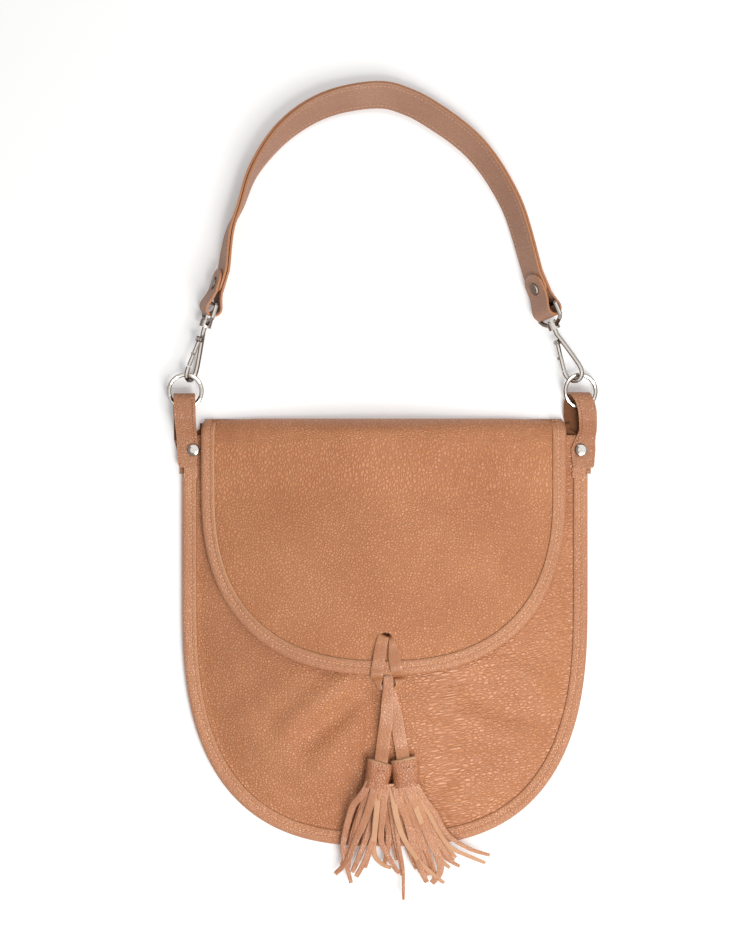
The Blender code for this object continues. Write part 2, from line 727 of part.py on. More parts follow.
def make_hitch():
    """The lace's bight: out of the hole, over the bound edge and round under the tails."""
    over_leather = GAP + LACE_THICK / 2
    over_binding = 2 * GAP + FLAP_BINDING_THICK + over_leather
    edge = FLAP_EDGE_Y
    band_start = edge + FLAP_BINDING_WIDTH + HITCH_BAND_RUN
    middle = (HITCH_LEFT + HITCH_RIGHT) / 2

    def height(x, y):
        if y > band_start:
            return flap_top(x, y) + over_leather
        if y > edge - HITCH_LEAN:
            return flap_top(x, max(y, edge)) + over_binding
        return belly(x, y) + over_leather

    hole_level = HOLE_Y - HITCH_LEAN
    left_top, right_top = HOLE_X - HITCH_WIDTH / 3, HOLE_X + HITCH_WIDTH / 3
    plan = (
        (left_top, hole_level), (mix(left_top, HITCH_LEFT, 0.35), mix(hole_level, band_start, 0.6)),
        (mix(left_top, HITCH_LEFT, 0.8), band_start - HITCH_BAND_RUN), (HITCH_LEFT, edge + HITCH_STEP_RUN),
        (HITCH_LEFT, edge - HITCH_DROP_RUN), (mix(HITCH_LEFT, middle, 0.35), mix(edge, BIGHT_Y, 0.82)),
        (middle, BIGHT_Y),
        (mix(HITCH_RIGHT, middle, 0.35), mix(edge, BIGHT_Y, 0.82)), (HITCH_RIGHT, edge - HITCH_DROP_RUN),
        (HITCH_RIGHT, edge + HITCH_STEP_RUN), (mix(right_top, HITCH_RIGHT, 0.8), band_start - HITCH_BAND_RUN),
        (mix(right_top, HITCH_RIGHT, 0.35), mix(hole_level, band_start, 0.6)), (right_top, hole_level),
    )
    drop = height(HITCH_LEFT, edge) - height(HITCH_LEFT, edge - HITCH_DROP_RUN)
    points = []
    for k, (x, y) in enumerate(plan):
        z = height(x, y)
        if k in (4, 8):
            z += drop * 0.52
        points.append(Vector((x, y, z)))
    halves = []
    for start, stop in ((0, 7), (12, 5)):
        step = 1 if stop > start else -1
        row = curve_through([points[k] for k in range(start, stop, step)], 3)
        frames = []
        for i, point in enumerate(row):
            along = (row[min(i + 1, len(row) - 1)] - row[max(i - 1, 0)]).normalized()
            up = Vector((0, 0, 1)) if along.z > -0.5 else Vector((0, -0.6, 0.8))
            across = along.cross(up).normalized()
            frames.append((point, across, across.cross(along).normalized(), HITCH_WIDTH / 2))
        halves.append(frames)
    hitch = piece("hitch_loop", ribbon("hitch_left", halves[0], LACE_THICK), TAN)
    boolean(hitch, hidden("hitch_right", ribbon("hitch_right", halves[1], LACE_THICK)), "UNION")
    behind = flap_under(HOLE_X, HOLE_Y) - LINING - 2 * GAP - LACE_THICK / 2
    shank_top = flap_top(HOLE_X, HOLE_Y) + over_leather
    shank = hidden("hitch_shank", cylinder("hitch_shank", HOLE_RADIUS - GAP, shank_top - behind))
    shank.location = (HOLE_X, HOLE_Y, (shank_top + behind) / 2)
    boolean(hitch, shank, "UNION")
    for side, x in (("left", LEFT_LACE_X), ("right", RIGHT_LACE_X)):
        end = Vector((x, LIFT_Y + GAP, belly(x, LIFT_Y) + LACE_LIFT))
        start = Vector((HOLE_X + (x - HOLE_X) * 0.4, HOLE_Y + HITCH_LEAN, behind))
        mid = Vector((x, mix(HOLE_Y, LIFT_Y, 0.5), mix(behind, end.z, 0.75)))
        row = curve_through([start, mid, end], 2)
        frames = [(p, Vector((1, 0, 0)), Vector((0, 0, 1)), LACE_PINCHED / 2) for p in row]
        tail = hidden(side + "_hitch_tail", ribbon(side + "_hitch_tail", frames, LACE_THICK))
        boolean(hitch, tail, "UNION")
    return hitch


def make_lace(name, start_x, bow, head):
    """One tail of the lace, from the flap's edge to inside its tassel's head."""
    plan = ((start_x, LIFT_Y), (start_x + 0.3 * bow, BIGHT_Y), (start_x + bow, mix(LIFT_Y, head[1], 0.28)),
            (mix(start_x, head[0], 0.6) + bow, mix(LIFT_Y, head[1], 0.5)),
            (mix(start_x, head[0], 0.85), mix(LIFT_Y, head[1], 0.8)), head)
    row = curve_through([(x, y, 0) for x, y in plan], 2)
    level = head_level(head)
    frames = []
    for point in row:
        run = LIFT_Y - point.y
        settled = smooth((run - LACE_SETTLE * 0.6) / LACE_SETTLE)
        ground = belly(point.x, point.y) + mix(LACE_LIFT, GAP + LACE_THICK, settled)
        near_head = smooth((head[1] + KNOT_DEPTH + LACE_CLIMB - point.y) / LACE_CLIMB)
        half = mix(LACE_PINCHED, LACE_WIDTH, smooth((run - LACE_SPREAD_START) / LACE_SPREAD)) / 2
        half = mix(half, LACE_NECK / 2, near_head)
        centre = Vector((point.x, point.y, mix(ground, level, near_head)))
        frames.append((centre, Vector((1, 0, 0)), half))
    lofted = []
    for i, (centre, across, half) in enumerate(frames):
        along = frames[min(i + 1, len(frames) - 1)][0] - frames[max(i - 1, 0)][0]
        lofted.append((centre, across, across.cross(along.normalized()).normalized() * -1, half))
    lace = piece(name, ribbon(name, lofted, LACE_THICK), TAN)
    bore_half, bore_thick = HEAD_HALF_WIDTH - HEAD_WALL, HEAD_HALF_THICK - HEAD_WALL
    room = bore_thick * math.sqrt(1 - (KNOT_RADIUS / bore_half) ** 2) - GAP
    knot = hidden(name + "_knot", cylinder(name + "_knot", KNOT_RADIUS, 2 * room))
    knot.location = (*head, level)
    boolean(lace, knot, "UNION")
    return lace


def swung_ground(x, y, pivot, sign):
    """Highest ground that a point of a tassel passes over in its swing."""
    best = 0.0
    for k in range(SWING_STEPS + 1):
        turn = sign * TASSEL_SWING * k / SWING_STEPS
        dx, dy = x - pivot[0], y - pivot[1]
        px = pivot[0] + dx * math.cos(turn) - dy * math.sin(turn)
        py = pivot[1] + dx * math.sin(turn) + dy * math.cos(turn)
        best = max(best, belly(px, py))
    return max(best, BODY_RIM + GAP + BINDING_THICK)


HEAD_END = HEAD_LENGTH - KNOT_DEPTH


def head_level(head):
    """Height of the middle of a tassel's head."""
    sign = -1 if head is LEFT_KNOT else 1
    edges = [swung_ground(head[0] + dx, head[1], head, sign) for dx in (-HEAD_HALF_WIDTH, HEAD_HALF_WIDTH)]
    return max(edges) + HEAD_CLEAR + HEAD_HALF_THICK


def oval_rod(name, half_width, half_thick, start, end):
    """Oval rod along local -Y, wide in X, between two distances from the origin."""
    bm = bmesh.new()
    bmesh.ops.create_cone(bm, cap_ends=True, segments=16, radius1=1.0, radius2=1.0, depth=end - start)
    bmesh.ops.scale(bm, vec=(half_width, half_thick, 1), verts=bm.verts)
    bmesh.ops.rotate(bm, cent=(0, 0, 0), matrix=Matrix.Rotation(math.pi / 2, 3, "X"), verts=bm.verts)
    bmesh.ops.translate(bm, vec=(0, -(start + end) / 2, 0), verts=bm.verts)
    return mesh_of(name, bm)


def make_tassel(side, head, turn, tips):
    """Rolled head, and the fringe that comes out of it."""
    sign = -1 if side == "left" else 1
    down = Vector((math.sin(turn), -math.cos(turn), 0))
    across = Vector((math.cos(turn), math.sin(turn), 0))
    up = Vector((0, 0, 1))
    level = head_level(head)
    top = Vector((head[0], head[1], level))
    place = Matrix.Translation(top) @ Matrix.Rotation(turn, 4, "Z")
    name = side + "_tassel_head"
    roll = piece(name, oval_rod(name, HEAD_HALF_WIDTH, HEAD_HALF_THICK, -KNOT_DEPTH, HEAD_END), TAN)
    bore = hidden(side + "_head_bore", oval_rod(side + "_head_bore", HEAD_HALF_WIDTH - HEAD_WALL,
                                                HEAD_HALF_THICK - HEAD_WALL, -KNOT_DEPTH - OVERRUN,
                                                HEAD_END + OVERRUN))
    boolean(roll, bore)
    droop_start = BODY_ARC_DEPTH - BODY_ARC_TOP + head[1] + FRINGE_PAST_EDGE
    core_half = HEAD_HALF_WIDTH - HEAD_WALL - GAP
    core_thick = HEAD_HALF_THICK - HEAD_WALL - GAP
    name = side + "_fringe"
    fringe = piece(name, oval_rod(name, core_half, core_thick, KNOT_RADIUS + GAP, HEAD_END + CORE_PROUD), PALE_TAN)
    for placed in (roll, bore, fringe):
        placed.matrix_world = place
    for number, (root_share, fan, reach_share, layer) in enumerate(tips):
        spread = root_share * ROOT_SPREAD_SHARE * (core_half - STRAND_WIDTH / 2)
        root = top + down * (HEAD_END + GAP) + across * spread
        root.z = level + (layer - 0.5) * STRAND_LAYER + number % 2 * STRAND_STAGGER
        length = FRINGE_REACH * reach_share
        angle = math.radians(fan)
        rows = []
        for k in range(STRAND_STEPS + 1):
            t = k / STRAND_STEPS
            bend = angle * 0.5 * (1 - t)
            point = root + (down * math.cos(angle - bend) + across * math.sin(angle - bend)) * (length * t)
            reach = (Vector((point.x, point.y, 0)) - Vector((head[0], head[1], 0))).length
            rest = swung_ground(point.x, point.y, head, sign) + HEAD_CLEAR + STRAND_THICK
            rest += layer * STRAND_LAYER * (1 - 0.5 * t) + number % 2 * STRAND_STAGGER
            rest -= FRINGE_DROOP * smooth((reach - droop_start) / FRINGE_DROOP_RUN)
            point.z = mix(root.z, rest, smooth(t * 3))
            rows.append(point)
        frames = []
        for i, point in enumerate(rows):
            along = (rows[min(i + 1, STRAND_STEPS)] - rows[max(i - 1, 0)]).normalized()
            side_way = along.cross(up).normalized()
            half = mix(STRAND_WIDTH, STRAND_TIP_WIDTH, i / STRAND_STEPS) / 2
            frames.append((point, side_way, side_way.cross(along).normalized(), half))
        label = "%s_strand_%d" % (side, number)
        boolean(fringe, hidden(label, ribbon(label, frames, STRAND_THICK)), "UNION")
    return roll, fringe


# Root share across the core, fan angle in degrees, length share, layer
LEFT_TIP_SHARES = (
    (-1.0, -19, 0.80, 0), (-0.5, -11, 0.86, 0), (0.0, -3, 0.84, 0), (0.5, 5, 0.90, 0), (1.0, 12, 0.93, 0),
    (-0.75, -15, 0.76, 1), (-0.25, -7, 0.82, 1), (0.25, 1, 0.93, 1), (0.75, 8.5, 0.86, 1),
)
RIGHT_TIP_SHARES = (
    (-1.0, -8, 0.86, 0), (-0.5, 0, 0.88, 0), (0.0, 8, 0.84, 0), (0.5, 17, 0.83, 0), (1.0, 27, 0.86, 0),
    (-0.75, -4, 0.82, 1), (-0.25, 4, 0.86, 1), (0.25, 12.5, 0.88, 1), (0.75, 22, 0.84, 1),
)


# Ring tabs and rings


def make_tab(side, tab):
    """Leather tab: under the corner, up round the ring and back over the front, riveted."""
    low = LIFT_LINE_Z - tab["below"] - TAB_THICK / 2
    high = LIFT_LINE_Z + tab["above"] + TAB_THICK / 2
    radius = (high - low) / 2
    turn_y = tab["end"] - TAB_THICK / 2 - radius
    foot = TAB_THICK / 2
    front = BODY_RIM + GAP + TAB_THICK / 2
    path = [(TAB_LOW, foot), (TAB_RIVET_Y, foot), (TAB_RISE_START, foot),
            (mix(TAB_RISE_START, turn_y, 0.55), mix(foot, low, 0.8)), (turn_y, low)]
    for k in range(1, TURN_STEPS):
        turn = math.pi * k / TURN_STEPS
        path.append((turn_y + radius * math.sin(turn), low + radius * (1 - math.cos(turn))))
    path += [(turn_y, high), (TAB_CREST, high), (mix(TAB_CREST, MOUTH_TOP, 0.5), mix(high, front, 0.42)),
             (MOUTH_TOP + TAB_MOUTH_RISE, mix(high, front, 0.9)), (MOUTH_TOP - TAB_MOUTH_RUN, front),
             (TAB_RIVET_Y, front), (TAB_LOW + TAB_FRONT_RUN, front), (TAB_LOW, front)]
    frames = []
    turned_over = path.index((turn_y, high))
    for i, (y, z) in enumerate(path):
        before, after = path[max(i - 1, 0)], path[min(i + 1, len(path) - 1)]
        along = Vector((0, after[0] - before[0], after[1] - before[1])).normalized()
        normal = Vector((1, 0, 0)).cross(along)
        rise = smooth((y - TAB_SHIFT_START) / (TAB_CREST - TAB_SHIFT_START))
        half = mix(TAB_HALF_WIDTH, TAB_LOOP_HALF_WIDTH, rise)
        shift = tab["front_shift"] * rise
        if i < turned_over:
            round_share = max(0, i - turned_over + TURN_STEPS) / TURN_STEPS
            rise = smooth((y - TAB_BACK_SHIFT_START) / (TAB_BACK_SHIFT_END - TAB_BACK_SHIFT_START))
            shift = mix(tab["back_shift"] * max(rise, round_share), tab["front_shift"], round_share)
        shift += tab["foot_shift"] * (1 - smooth((y - TAB_LEAN_START) / (TAB_CREST - TAB_LEAN_START)))
        if y == TAB_LOW:
            half = TAB_END_HALF_WIDTH
        frames.append((Vector((tab["x"] + shift, y, z)), Vector((1, 0, 0)), normal, half))
    name = side + "_tab"
    return piece(name, ribbon(name, frames, TAB_THICK), TAN)


def rivet(stem, place, clamp, stack, seat_depth=0.0):
    """Cap and post through a stack. The frame's local Z leaves the cap; clamp is the stack's height."""
    cap_profile = [(SOCKET_RADIUS, seat_depth - clamp + GAP), (SOCKET_RADIUS, GAP), (CAP_RADIUS, GAP),
                   (CAP_RADIUS, GAP + CAP_EDGE), (CAP_RADIUS * 0.86, GAP + CAP_HEIGHT * 0.78),
                   (CAP_RADIUS * 0.5, GAP + CAP_HEIGHT)]
    cap = piece(stem + "_cap", turned(stem + "_cap", cap_profile), NICKEL, 0.2, 1.0)
    bore_length = clamp + CAP_HEIGHT
    bore = hidden(stem + "_bore", cylinder(stem + "_bore", POST_BORE, bore_length, 12))
    boolean(cap, bore)
    top = CAP_HEIGHT * 0.35
    base_top = -clamp - GAP + seat_depth
    post_profile = [(CAP_RADIUS, base_top - BASE_HEIGHT), (CAP_RADIUS, base_top), (POST_RADIUS, base_top),
                    (POST_RADIUS, top - GAP)]
    post = piece(stem + "_post", turned(stem + "_post", post_profile, 16), NICKEL, 0.25, 1.0)
    cap.matrix_world = place
    post.matrix_world = place
    bore.matrix_world = place @ Matrix.Translation((0, 0, top - bore_length / 2))
    hole = hidden(stem + "_hole", cylinder(stem + "_hole", POST_HOLE, 4 * clamp, 16))
    hole.matrix_world = place @ Matrix.Translation((0, 0, -clamp / 2))
    for part in stack:
        boolean(part, hole)
    return cap, post


def make_tab_rivets(tabs, back, front):
    for side, tab in (("left", LEFT_TAB), ("right", RIGHT_TAB)):
        clamp = BODY_RIM + GAP + TAB_THICK
        rivet_x = tab["x"] + tab["rivet_shift"]
        place = Matrix.Translation((rivet_x, TAB_RIVET_Y, clamp))
        seat_depth = BASE_HEIGHT + BASE_SEAT + GAP
        rivet(side + "_tab_rivet", place, clamp, (tabs[side], back, front), seat_depth)
        seat = hidden(side + "_rivet_seat", cylinder(side + "_rivet_seat", CAP_RADIUS + GAP,
                                                     2 * (BASE_HEIGHT + BASE_SEAT + GAP)))
        seat.location = (rivet_x, TAB_RIVET_Y, 0)
        boolean(tabs[side], seat)


def ring_centre(x):
    return Vector((x, LIFT_LINE_Y + RING_RADIUS, LIFT_LINE_Z))


def make_ring(name, x, tilt):
    bpy.ops.mesh.primitive_torus_add(major_segments=28, minor_segments=8, major_radius=RING_RADIUS,
                                     minor_radius=RING_WIRE)
    shape = bpy.context.object
    mesh = shape.data
    bpy.data.objects.remove(shape, do_unlink=True)
    ring = piece(name, mesh, NICKEL, 0.15, 1.0, 60)
    ring.matrix_world = Matrix.Translation(ring_centre(x)) @ Matrix.Rotation(tilt, 4, "Y")
    return ring


# Snap clips


def clip_frame(ring_x, tilt, aim):
    """Where a clip hangs on its ring: swivel point, unit vector up the clip, eye bar."""
    centre = ring_centre(ring_x)
    to_aim = Vector(aim) - centre
    flat = Matrix.Rotation(tilt, 3, "Y") @ Vector((1, 0, 0))
    psi = math.atan2(to_aim.x / flat.x, to_aim.y)
    contact = centre + (flat * math.sin(psi) + Vector((0, 1, 0)) * math.cos(psi)) * RING_RADIUS
    up = (Vector(aim) - contact).normalized()
    hang_depth = HOOK_BEND_DEPTH + HOOK_BEND_RADIUS - CLIP_WIRE - RING_WIRE - GAP
    swivel = contact + up * hang_depth
    return swivel, up, swivel + up * EYE_REACH


def frame_matrix(origin, x_axis, z_axis):
    z = z_axis.normalized()
    x = (x_axis - z * x_axis.dot(z)).normalized()
    y = z.cross(x)
    turn = Matrix((x, y, z)).transposed().to_4x4()
    return Matrix.Translation(origin) @ turn


def hook_side(up, tilt):
    """Direction across a hook, turned up from level by the tilt."""
    level = Vector((up.y, -up.x, 0)).normalized()
    return level * math.cos(tilt) + Vector((0, 0, 1)) * math.sin(tilt)


def make_clip(side, frame, across, eye_side):
    """Swivel snap hook. Local Z runs up to the eye; the hook lies in its local XZ plane."""
    swivel, up, _ = frame
    eye_place = frame_matrix(swivel, eye_side, up)
    hook_place = frame_matrix(swivel, across, up)
    neck = COLLAR_LENGTH / 2
    shoulder = EYE_REACH * 0.5
    loop = [(-EYE_HALF, 0, EYE_REACH - EYE_CORNER), (-EYE_HALF + EYE_CORNER, 0, EYE_REACH),
            (EYE_HALF - EYE_CORNER, 0, EYE_REACH), (EYE_HALF, 0, EYE_REACH - EYE_CORNER),
            (EYE_HALF, 0, shoulder), (EYE_HALF * 0.8, 0, shoulder * 0.7), (EYE_HALF * 0.45, 0, shoulder * 0.45),
            (COLLAR_RADIUS * 0.8, 0, neck), (-COLLAR_RADIUS * 0.8, 0, neck),
            (-EYE_HALF * 0.45, 0, shoulder * 0.45), (-EYE_HALF * 0.8, 0, shoulder * 0.7),
            (-EYE_HALF, 0, shoulder)]
    eye = piece(side + "_clip_eye", tube(side + "_clip_eye", loop, EYE_WIRE, True), NICKEL, 0.15, 1.0, 60)
    eye.matrix_world = eye_place
    collar = hidden(side + "_collar", cylinder(side + "_collar", COLLAR_RADIUS, COLLAR_LENGTH))
    collar.matrix_world = eye_place @ Matrix.Translation((0, 0, COLLAR_LENGTH / 2))
    boolean(eye, collar, "UNION")
    bore_length = COLLAR_LENGTH + 2 * OVERRUN
    bore = hidden(side + "_collar_bore", cylinder(side + "_collar_bore", CLIP_WIRE + SWIVEL_GAP, bore_length, 16))
    bore.matrix_world = eye_place @ Matrix.Translation((0, 0, COLLAR_LENGTH / 2))
    boolean(eye, bore)

    bend = []
    for k in range(10):
        turn = math.pi * k / 9
        bend.append((HOOK_SIDE + HOOK_BEND_RADIUS * math.cos(turn), 0,
                     -HOOK_BEND_DEPTH - HOOK_BEND_RADIUS * math.sin(turn)))
    spine_x = HOOK_SIDE + HOOK_BEND_RADIUS
    wire = [(0, 0, COLLAR_LENGTH + SWIVEL_GAP + SWIVEL_HEAD / 2), (0, 0, 0), (0, 0, -HOOK_BEND_DEPTH * 0.12),
            (spine_x * 0.35, 0, -HOOK_BEND_DEPTH * 0.38), (spine_x * 0.72, 0, -HOOK_BEND_DEPTH * 0.68),
            (spine_x * 0.95, 0, -HOOK_BEND_DEPTH * 0.88)] + bend
    wire.append((HOOK_SIDE - HOOK_BEND_RADIUS, 0, -HOOK_NOSE))
    hook = piece(side + "_clip_hook", tube(side + "_clip_hook", wire, CLIP_WIRE), NICKEL, 0.15, 1.0, 60)
    hook.matrix_world = hook_place
    head = hidden(side + "_swivel_head", cylinder(side + "_swivel_head", SWIVEL_HEAD_RADIUS, SWIVEL_HEAD, 16))
    head.matrix_world = hook_place @ Matrix.Translation((0, 0, COLLAR_LENGTH + SWIVEL_GAP + SWIVEL_HEAD / 2))
    boolean(hook, head, "UNION")
    pivot = Vector((GATE_PIVOT_SIDE, 0, -HOOK_BEND_DEPTH * GATE_PIVOT_SHARE))
    lie = Matrix.Rotation(math.pi / 2, 4, "X")
    lug_end = Vector((spine_x * 0.35, 0, -HOOK_BEND_DEPTH * 0.3))
    lug = hidden(side + "_gate_lug", cylinder(side + "_gate_lug", GATE_EAR_RADIUS, LUG_WIDTH, 16))
    lug.matrix_world = hook_place @ Matrix.Translation(pivot) @ lie
    boolean(hook, lug, "UNION")
    web_size = (lug_end.x - pivot.x, LUG_WIDTH * 0.96, GATE_EAR_RADIUS * 1.7)
    web_place = ((lug_end.x + pivot.x) / 2, 0, (lug_end.z + pivot.z) / 2)
    web = hidden(side + "_lug_web", box(side + "_lug_web", web_size, web_place))
    web.matrix_world = hook_place
    boolean(hook, web, "UNION")
    pin_hole = hidden(side + "_pin_hole", cylinder(side + "_pin_hole", PIN_RADIUS + GAP, 2 * GATE_EAR_WIDTH, 12))
    pin_hole.matrix_world = hook_place @ Matrix.Translation(pivot) @ lie
    boolean(hook, pin_hole)

    nose = Vector((HOOK_SIDE - HOOK_BEND_RADIUS, 0, -HOOK_NOSE))
    lean = (nose - pivot).normalized()
    tip = pivot + lean * ((nose - pivot).length - CLIP_WIRE * 0.3 - GATE_TIP_GAP)
    root = pivot + lean * (GATE_EAR_RADIUS * 0.4)
    lever = [root, mix(root, tip, 0.5), tip]
    gate = piece(side + "_clip_gate", tube(side + "_clip_gate", lever, GATE_RADIUS), NICKEL, 0.15, 1.0, 60)
    gate.matrix_world = hook_place
    ears = hidden(side + "_gate_ears", cylinder(side + "_gate_ears", GATE_EAR_RADIUS, GATE_EAR_WIDTH, 16))
    ears.matrix_world = hook_place @ Matrix.Translation(pivot) @ lie
    boolean(gate, ears, "UNION")
    outward = Vector((lean.z, 0, -lean.x))
    if outward.x > 0:
        outward.negate()
    stud_at = mix(root, tip, 0.55)
    stud_line = [stud_at, stud_at + outward * STUD_REACH]
    stud = hidden(side + "_thumb_stud", tube(side + "_thumb_stud", stud_line, STUD_RADIUS))
    stud.matrix_world = hook_place
    boolean(gate, stud, "UNION")
    slot_reach = 2 * GATE_EAR_RADIUS + 2 * GAP
    slot_size = (2 * slot_reach, LUG_WIDTH + 2 * GAP, 2 * slot_reach)
    slot_place = pivot + Vector((slot_reach * 0.45, 0, slot_reach * 0.45))
    slot = hidden(side + "_gate_slot", box(side + "_gate_slot", slot_size, slot_place))
    slot.matrix_world = hook_place
    boolean(gate, slot)
    boolean(gate, pin_hole)
    pin = piece(side + "_gate_pin", cylinder(side + "_gate_pin", PIN_RADIUS, GATE_EAR_WIDTH, 12), NICKEL, 0.2, 1.0)
    pin.matrix_world = hook_place @ Matrix.Translation(pivot) @ lie
    return eye, hook, gate, pin, hook_place @ pivot, (hook_place.to_3x3() @ Vector((0, 1, 0)))


# Handle strap


def end_frame(up, lean, outward_sign):
    """Local directions at a strap's end: across its width, and outwards through its layers."""
    level = Vector((up.x, up.y, 0)).normalized()
    outward = Vector((-level.y, level.x, 0)) * outward_sign
    across = Vector((0, 0, 1)) * math.cos(lean) + outward * math.sin(lean)
    across = (across - up * across.dot(up)).normalized()
    normal = up.cross(across)
    if normal.dot(outward) < 0:
        normal.negate()
    return across, normal


def make_strap(left, right):
    """Two strips on each other, each looped round one clip's eye and riveted on the far side."""
    layer = STRIP_THICK + GAP
    ends = {}
    for side, frame, lean, turn_sign in (("left", left, LEFT_LEAN, 1), ("right", right, RIGHT_LEAN, -1)):
        _, up, eye = frame
        across, normal = end_frame(up, lean, turn_sign)
        inner_to_outer = 1 if side == "left" else -1
        ends[side] = (eye, up, across, normal, inner_to_outer)

    def at_end(side, along, out):
        """Point a distance from the tail's end towards the eye, and out from the loop's middle."""
        eye, up, _, normal, flip = ends[side]
        return eye + up * (STRAP_NECK - along) + normal * (out * flip)

    bundle = STRIP_THICK + GAP / 2
    rows = [(at_end("left", 0, 0) - ends["left"][3] * (layer / 2), LEFT_LEAN)]
    for x_share, y_share, degrees in ARCH_SHARES:
        lean = math.radians(degrees)
        height = STRAP_WIDTH / 2 * math.cos(lean) + bundle * abs(math.sin(lean)) + TABLE_CLEAR
        point = Vector((ARCH_CENTRE + ARCH_HALF_SPAN * x_share, ARCH_BASE + ARCH_RISE * y_share, height))
        rows.append((point, lean))
    rows.append((at_end("right", 0, 0) + ends["right"][3] * (layer / 2), RIGHT_LEAN))
    packed = curve_through([p for p, _ in rows], 3)
    leans = curve_through([(lean, 0, 0) for _, lean in rows], 3)
    middle = []
    last = len(packed) - 1
    for i, point in enumerate(packed):
        if i == 0:
            along = ends["left"][1]
        elif i == last:
            along = -ends["right"][1]
        else:
            along = (packed[i + 1] - packed[i - 1]).normalized()
        level = Vector((along.x, along.y, 0)).normalized()
        outward = Vector((-level.y, level.x, 0))
        lean = leans[i].x
        across = Vector((0, 0, 1)) * math.cos(lean) + outward * math.sin(lean)
        across = (across - along * across.dot(along)).normalized()
        normal = along.cross(across)
        if normal.dot(outward) < 0:
            normal.negate()
        middle.append((point, across, normal))

    loop = []
    for k in range(11):
        turn = math.radians(-110 + 220 * k / 10)
        loop.append((LOOP_CENTRE + LOOP_RADIUS * math.cos(turn), LOOP_RADIUS * math.sin(turn)))
    neck = STRAP_OVERLAP + LOOP_NECK_RUN
    loop = [(STRAP_OVERLAP / 2, -layer), (STRAP_OVERLAP, -layer), (neck, -layer - LOOP_NECK_RISE)] + loop
    loop += [(neck, layer + LOOP_NECK_RISE), (STRAP_OVERLAP, layer), (STRAP_OVERLAP / 2, layer), (0, layer)]

    strips = {}
    for name, offset, loop_side in (("strap_outer", layer / 2, "right"), ("strap_inner", -layer / 2, "left")):
        body = [(p + n * offset, across) for p, across, n in middle]
        plain_side = "left" if loop_side == "right" else "right"
        frames = []
        for along in (STRAP_OVERLAP, STRAP_OVERLAP / 2):
            frames.append((at_end(plain_side, along, 0.0), ends[plain_side][2]))
        frames += body if loop_side == "right" else body[::-1]
        frames += [(at_end(loop_side, along, out), ends[loop_side][2]) for along, out in loop]
        aligned = []
        for i, (centre, across) in enumerate(frames):
            ahead, behind = frames[min(i + 1, len(frames) - 1)][0], frames[max(i - 1, 0)][0]
            way = (ahead - behind).normalized()
            side_way = (across - way * across.dot(way)).normalized()
            aligned.append((centre, side_way, way.cross(side_way).normalized(), STRAP_WIDTH / 2))
        strips[name] = piece(name, ribbon(name, aligned, STRIP_THICK), TAN)
    clamp = 3 * STRIP_THICK + 2 * GAP
    made = list(strips.values())
    for side, (_, _, across, normal, flip) in ends.items():
        face = at_end(side, STRAP_RIVET_AT, layer + STRIP_THICK / 2)
        place = frame_matrix(face, across, normal * flip)
        made += rivet(side + "_strap_rivet", place, clamp, (strips["strap_outer"], strips["strap_inner"]))
    return made


# Assembly

back_panel = make_back()
front_panel = make_front()
make_linings()
make_edge_binding()
make_mouth_binding()

tab_pieces = {"left": make_tab("left", LEFT_TAB), "right": make_tab("right", RIGHT_TAB)}
make_tab_rivets(tab_pieces, back_panel, front_panel)

flap_hinge = hinge_point("flap_hinge", (0, FLAP_FOLD_TOP - SKIN / 2, FLAP_FOLD_FOOT))
for flap_piece in make_flap():
    hang(flap_piece, flap_hinge)
snap_socket, snap_stud = make_snap()
hang(snap_stud, flap_hinge)
hang(make_hitch(), flap_hinge)

lace_hinge = hinge_point("lace_hinge", (0, LIFT_Y, belly(LEFT_LACE_X, LIFT_Y) + LACE_LIFT + LACE_THICK / 2))
hang(make_lace("left_lace", LEFT_LACE_X, LEFT_LACE_BOW, LEFT_KNOT), lace_hinge)
hang(make_lace("right_lace", RIGHT_LACE_X, RIGHT_LACE_BOW, RIGHT_KNOT), lace_hinge)
for tassel_side, tassel_head, tassel_turn, tassel_tips in (
        ("left", LEFT_KNOT, LEFT_HEAD_TURN, LEFT_TIP_SHARES),
        ("right", RIGHT_KNOT, RIGHT_HEAD_TURN, RIGHT_TIP_SHARES)):
    tassel_pivot = hinge_point(tassel_side + "_tassel_pivot", (*tassel_head, head_level(tassel_head)))
    for tassel_piece in make_tassel(tassel_side, tassel_head, tassel_turn, tassel_tips):
        hang(tassel_piece, tassel_pivot)

handle_hinge = hinge_point("handle_hinge", (0, LIFT_LINE_Y, LIFT_LINE_Z))
left_ring = make_ring("left_ring", LEFT_RING_X, 0.0)
right_ring = make_ring("right_ring", RIGHT_RING_X, RIGHT_RING_TILT)
hang(left_ring, handle_hinge)
hang(right_ring, handle_hinge)

left_clip = clip_frame(LEFT_RING_X, 0.0, LEFT_EYE_AIM)
right_clip = clip_frame(RIGHT_RING_X, RIGHT_RING_TILT, RIGHT_EYE_AIM)
left_across, _ = end_frame(left_clip[1], LEFT_LEAN, 1)
right_across, _ = end_frame(right_clip[1], RIGHT_LEAN, -1)
left_made = make_clip("left", left_clip, hook_side(left_clip[1], LEFT_HOOK_TILT), left_across)
right_made = make_clip("right", right_clip, hook_side(right_clip[1], RIGHT_HOOK_TILT), right_across)
for clip_made, clip_side in ((left_made, "left"), (right_made, "right")):
    gate_point = hinge_point(clip_side + "_gate_pivot", clip_made[4])
    swivel_point = hinge_point(clip_side + "_swivel", (left_clip if clip_side == "left" else right_clip)[0])
    hang(clip_made[0], handle_hinge)
    hang(clip_made[1], swivel_point)
    hang(clip_made[3], swivel_point)
    hang(clip_made[2], gate_point)
    print(clip_side, "gate pivot", [round(v, 5) for v in clip_made[4]], "axis", [round(v, 5) for v in clip_made[5]])

for strap_piece in make_strap(left_clip, right_clip):
    hang(strap_piece, handle_hinge)

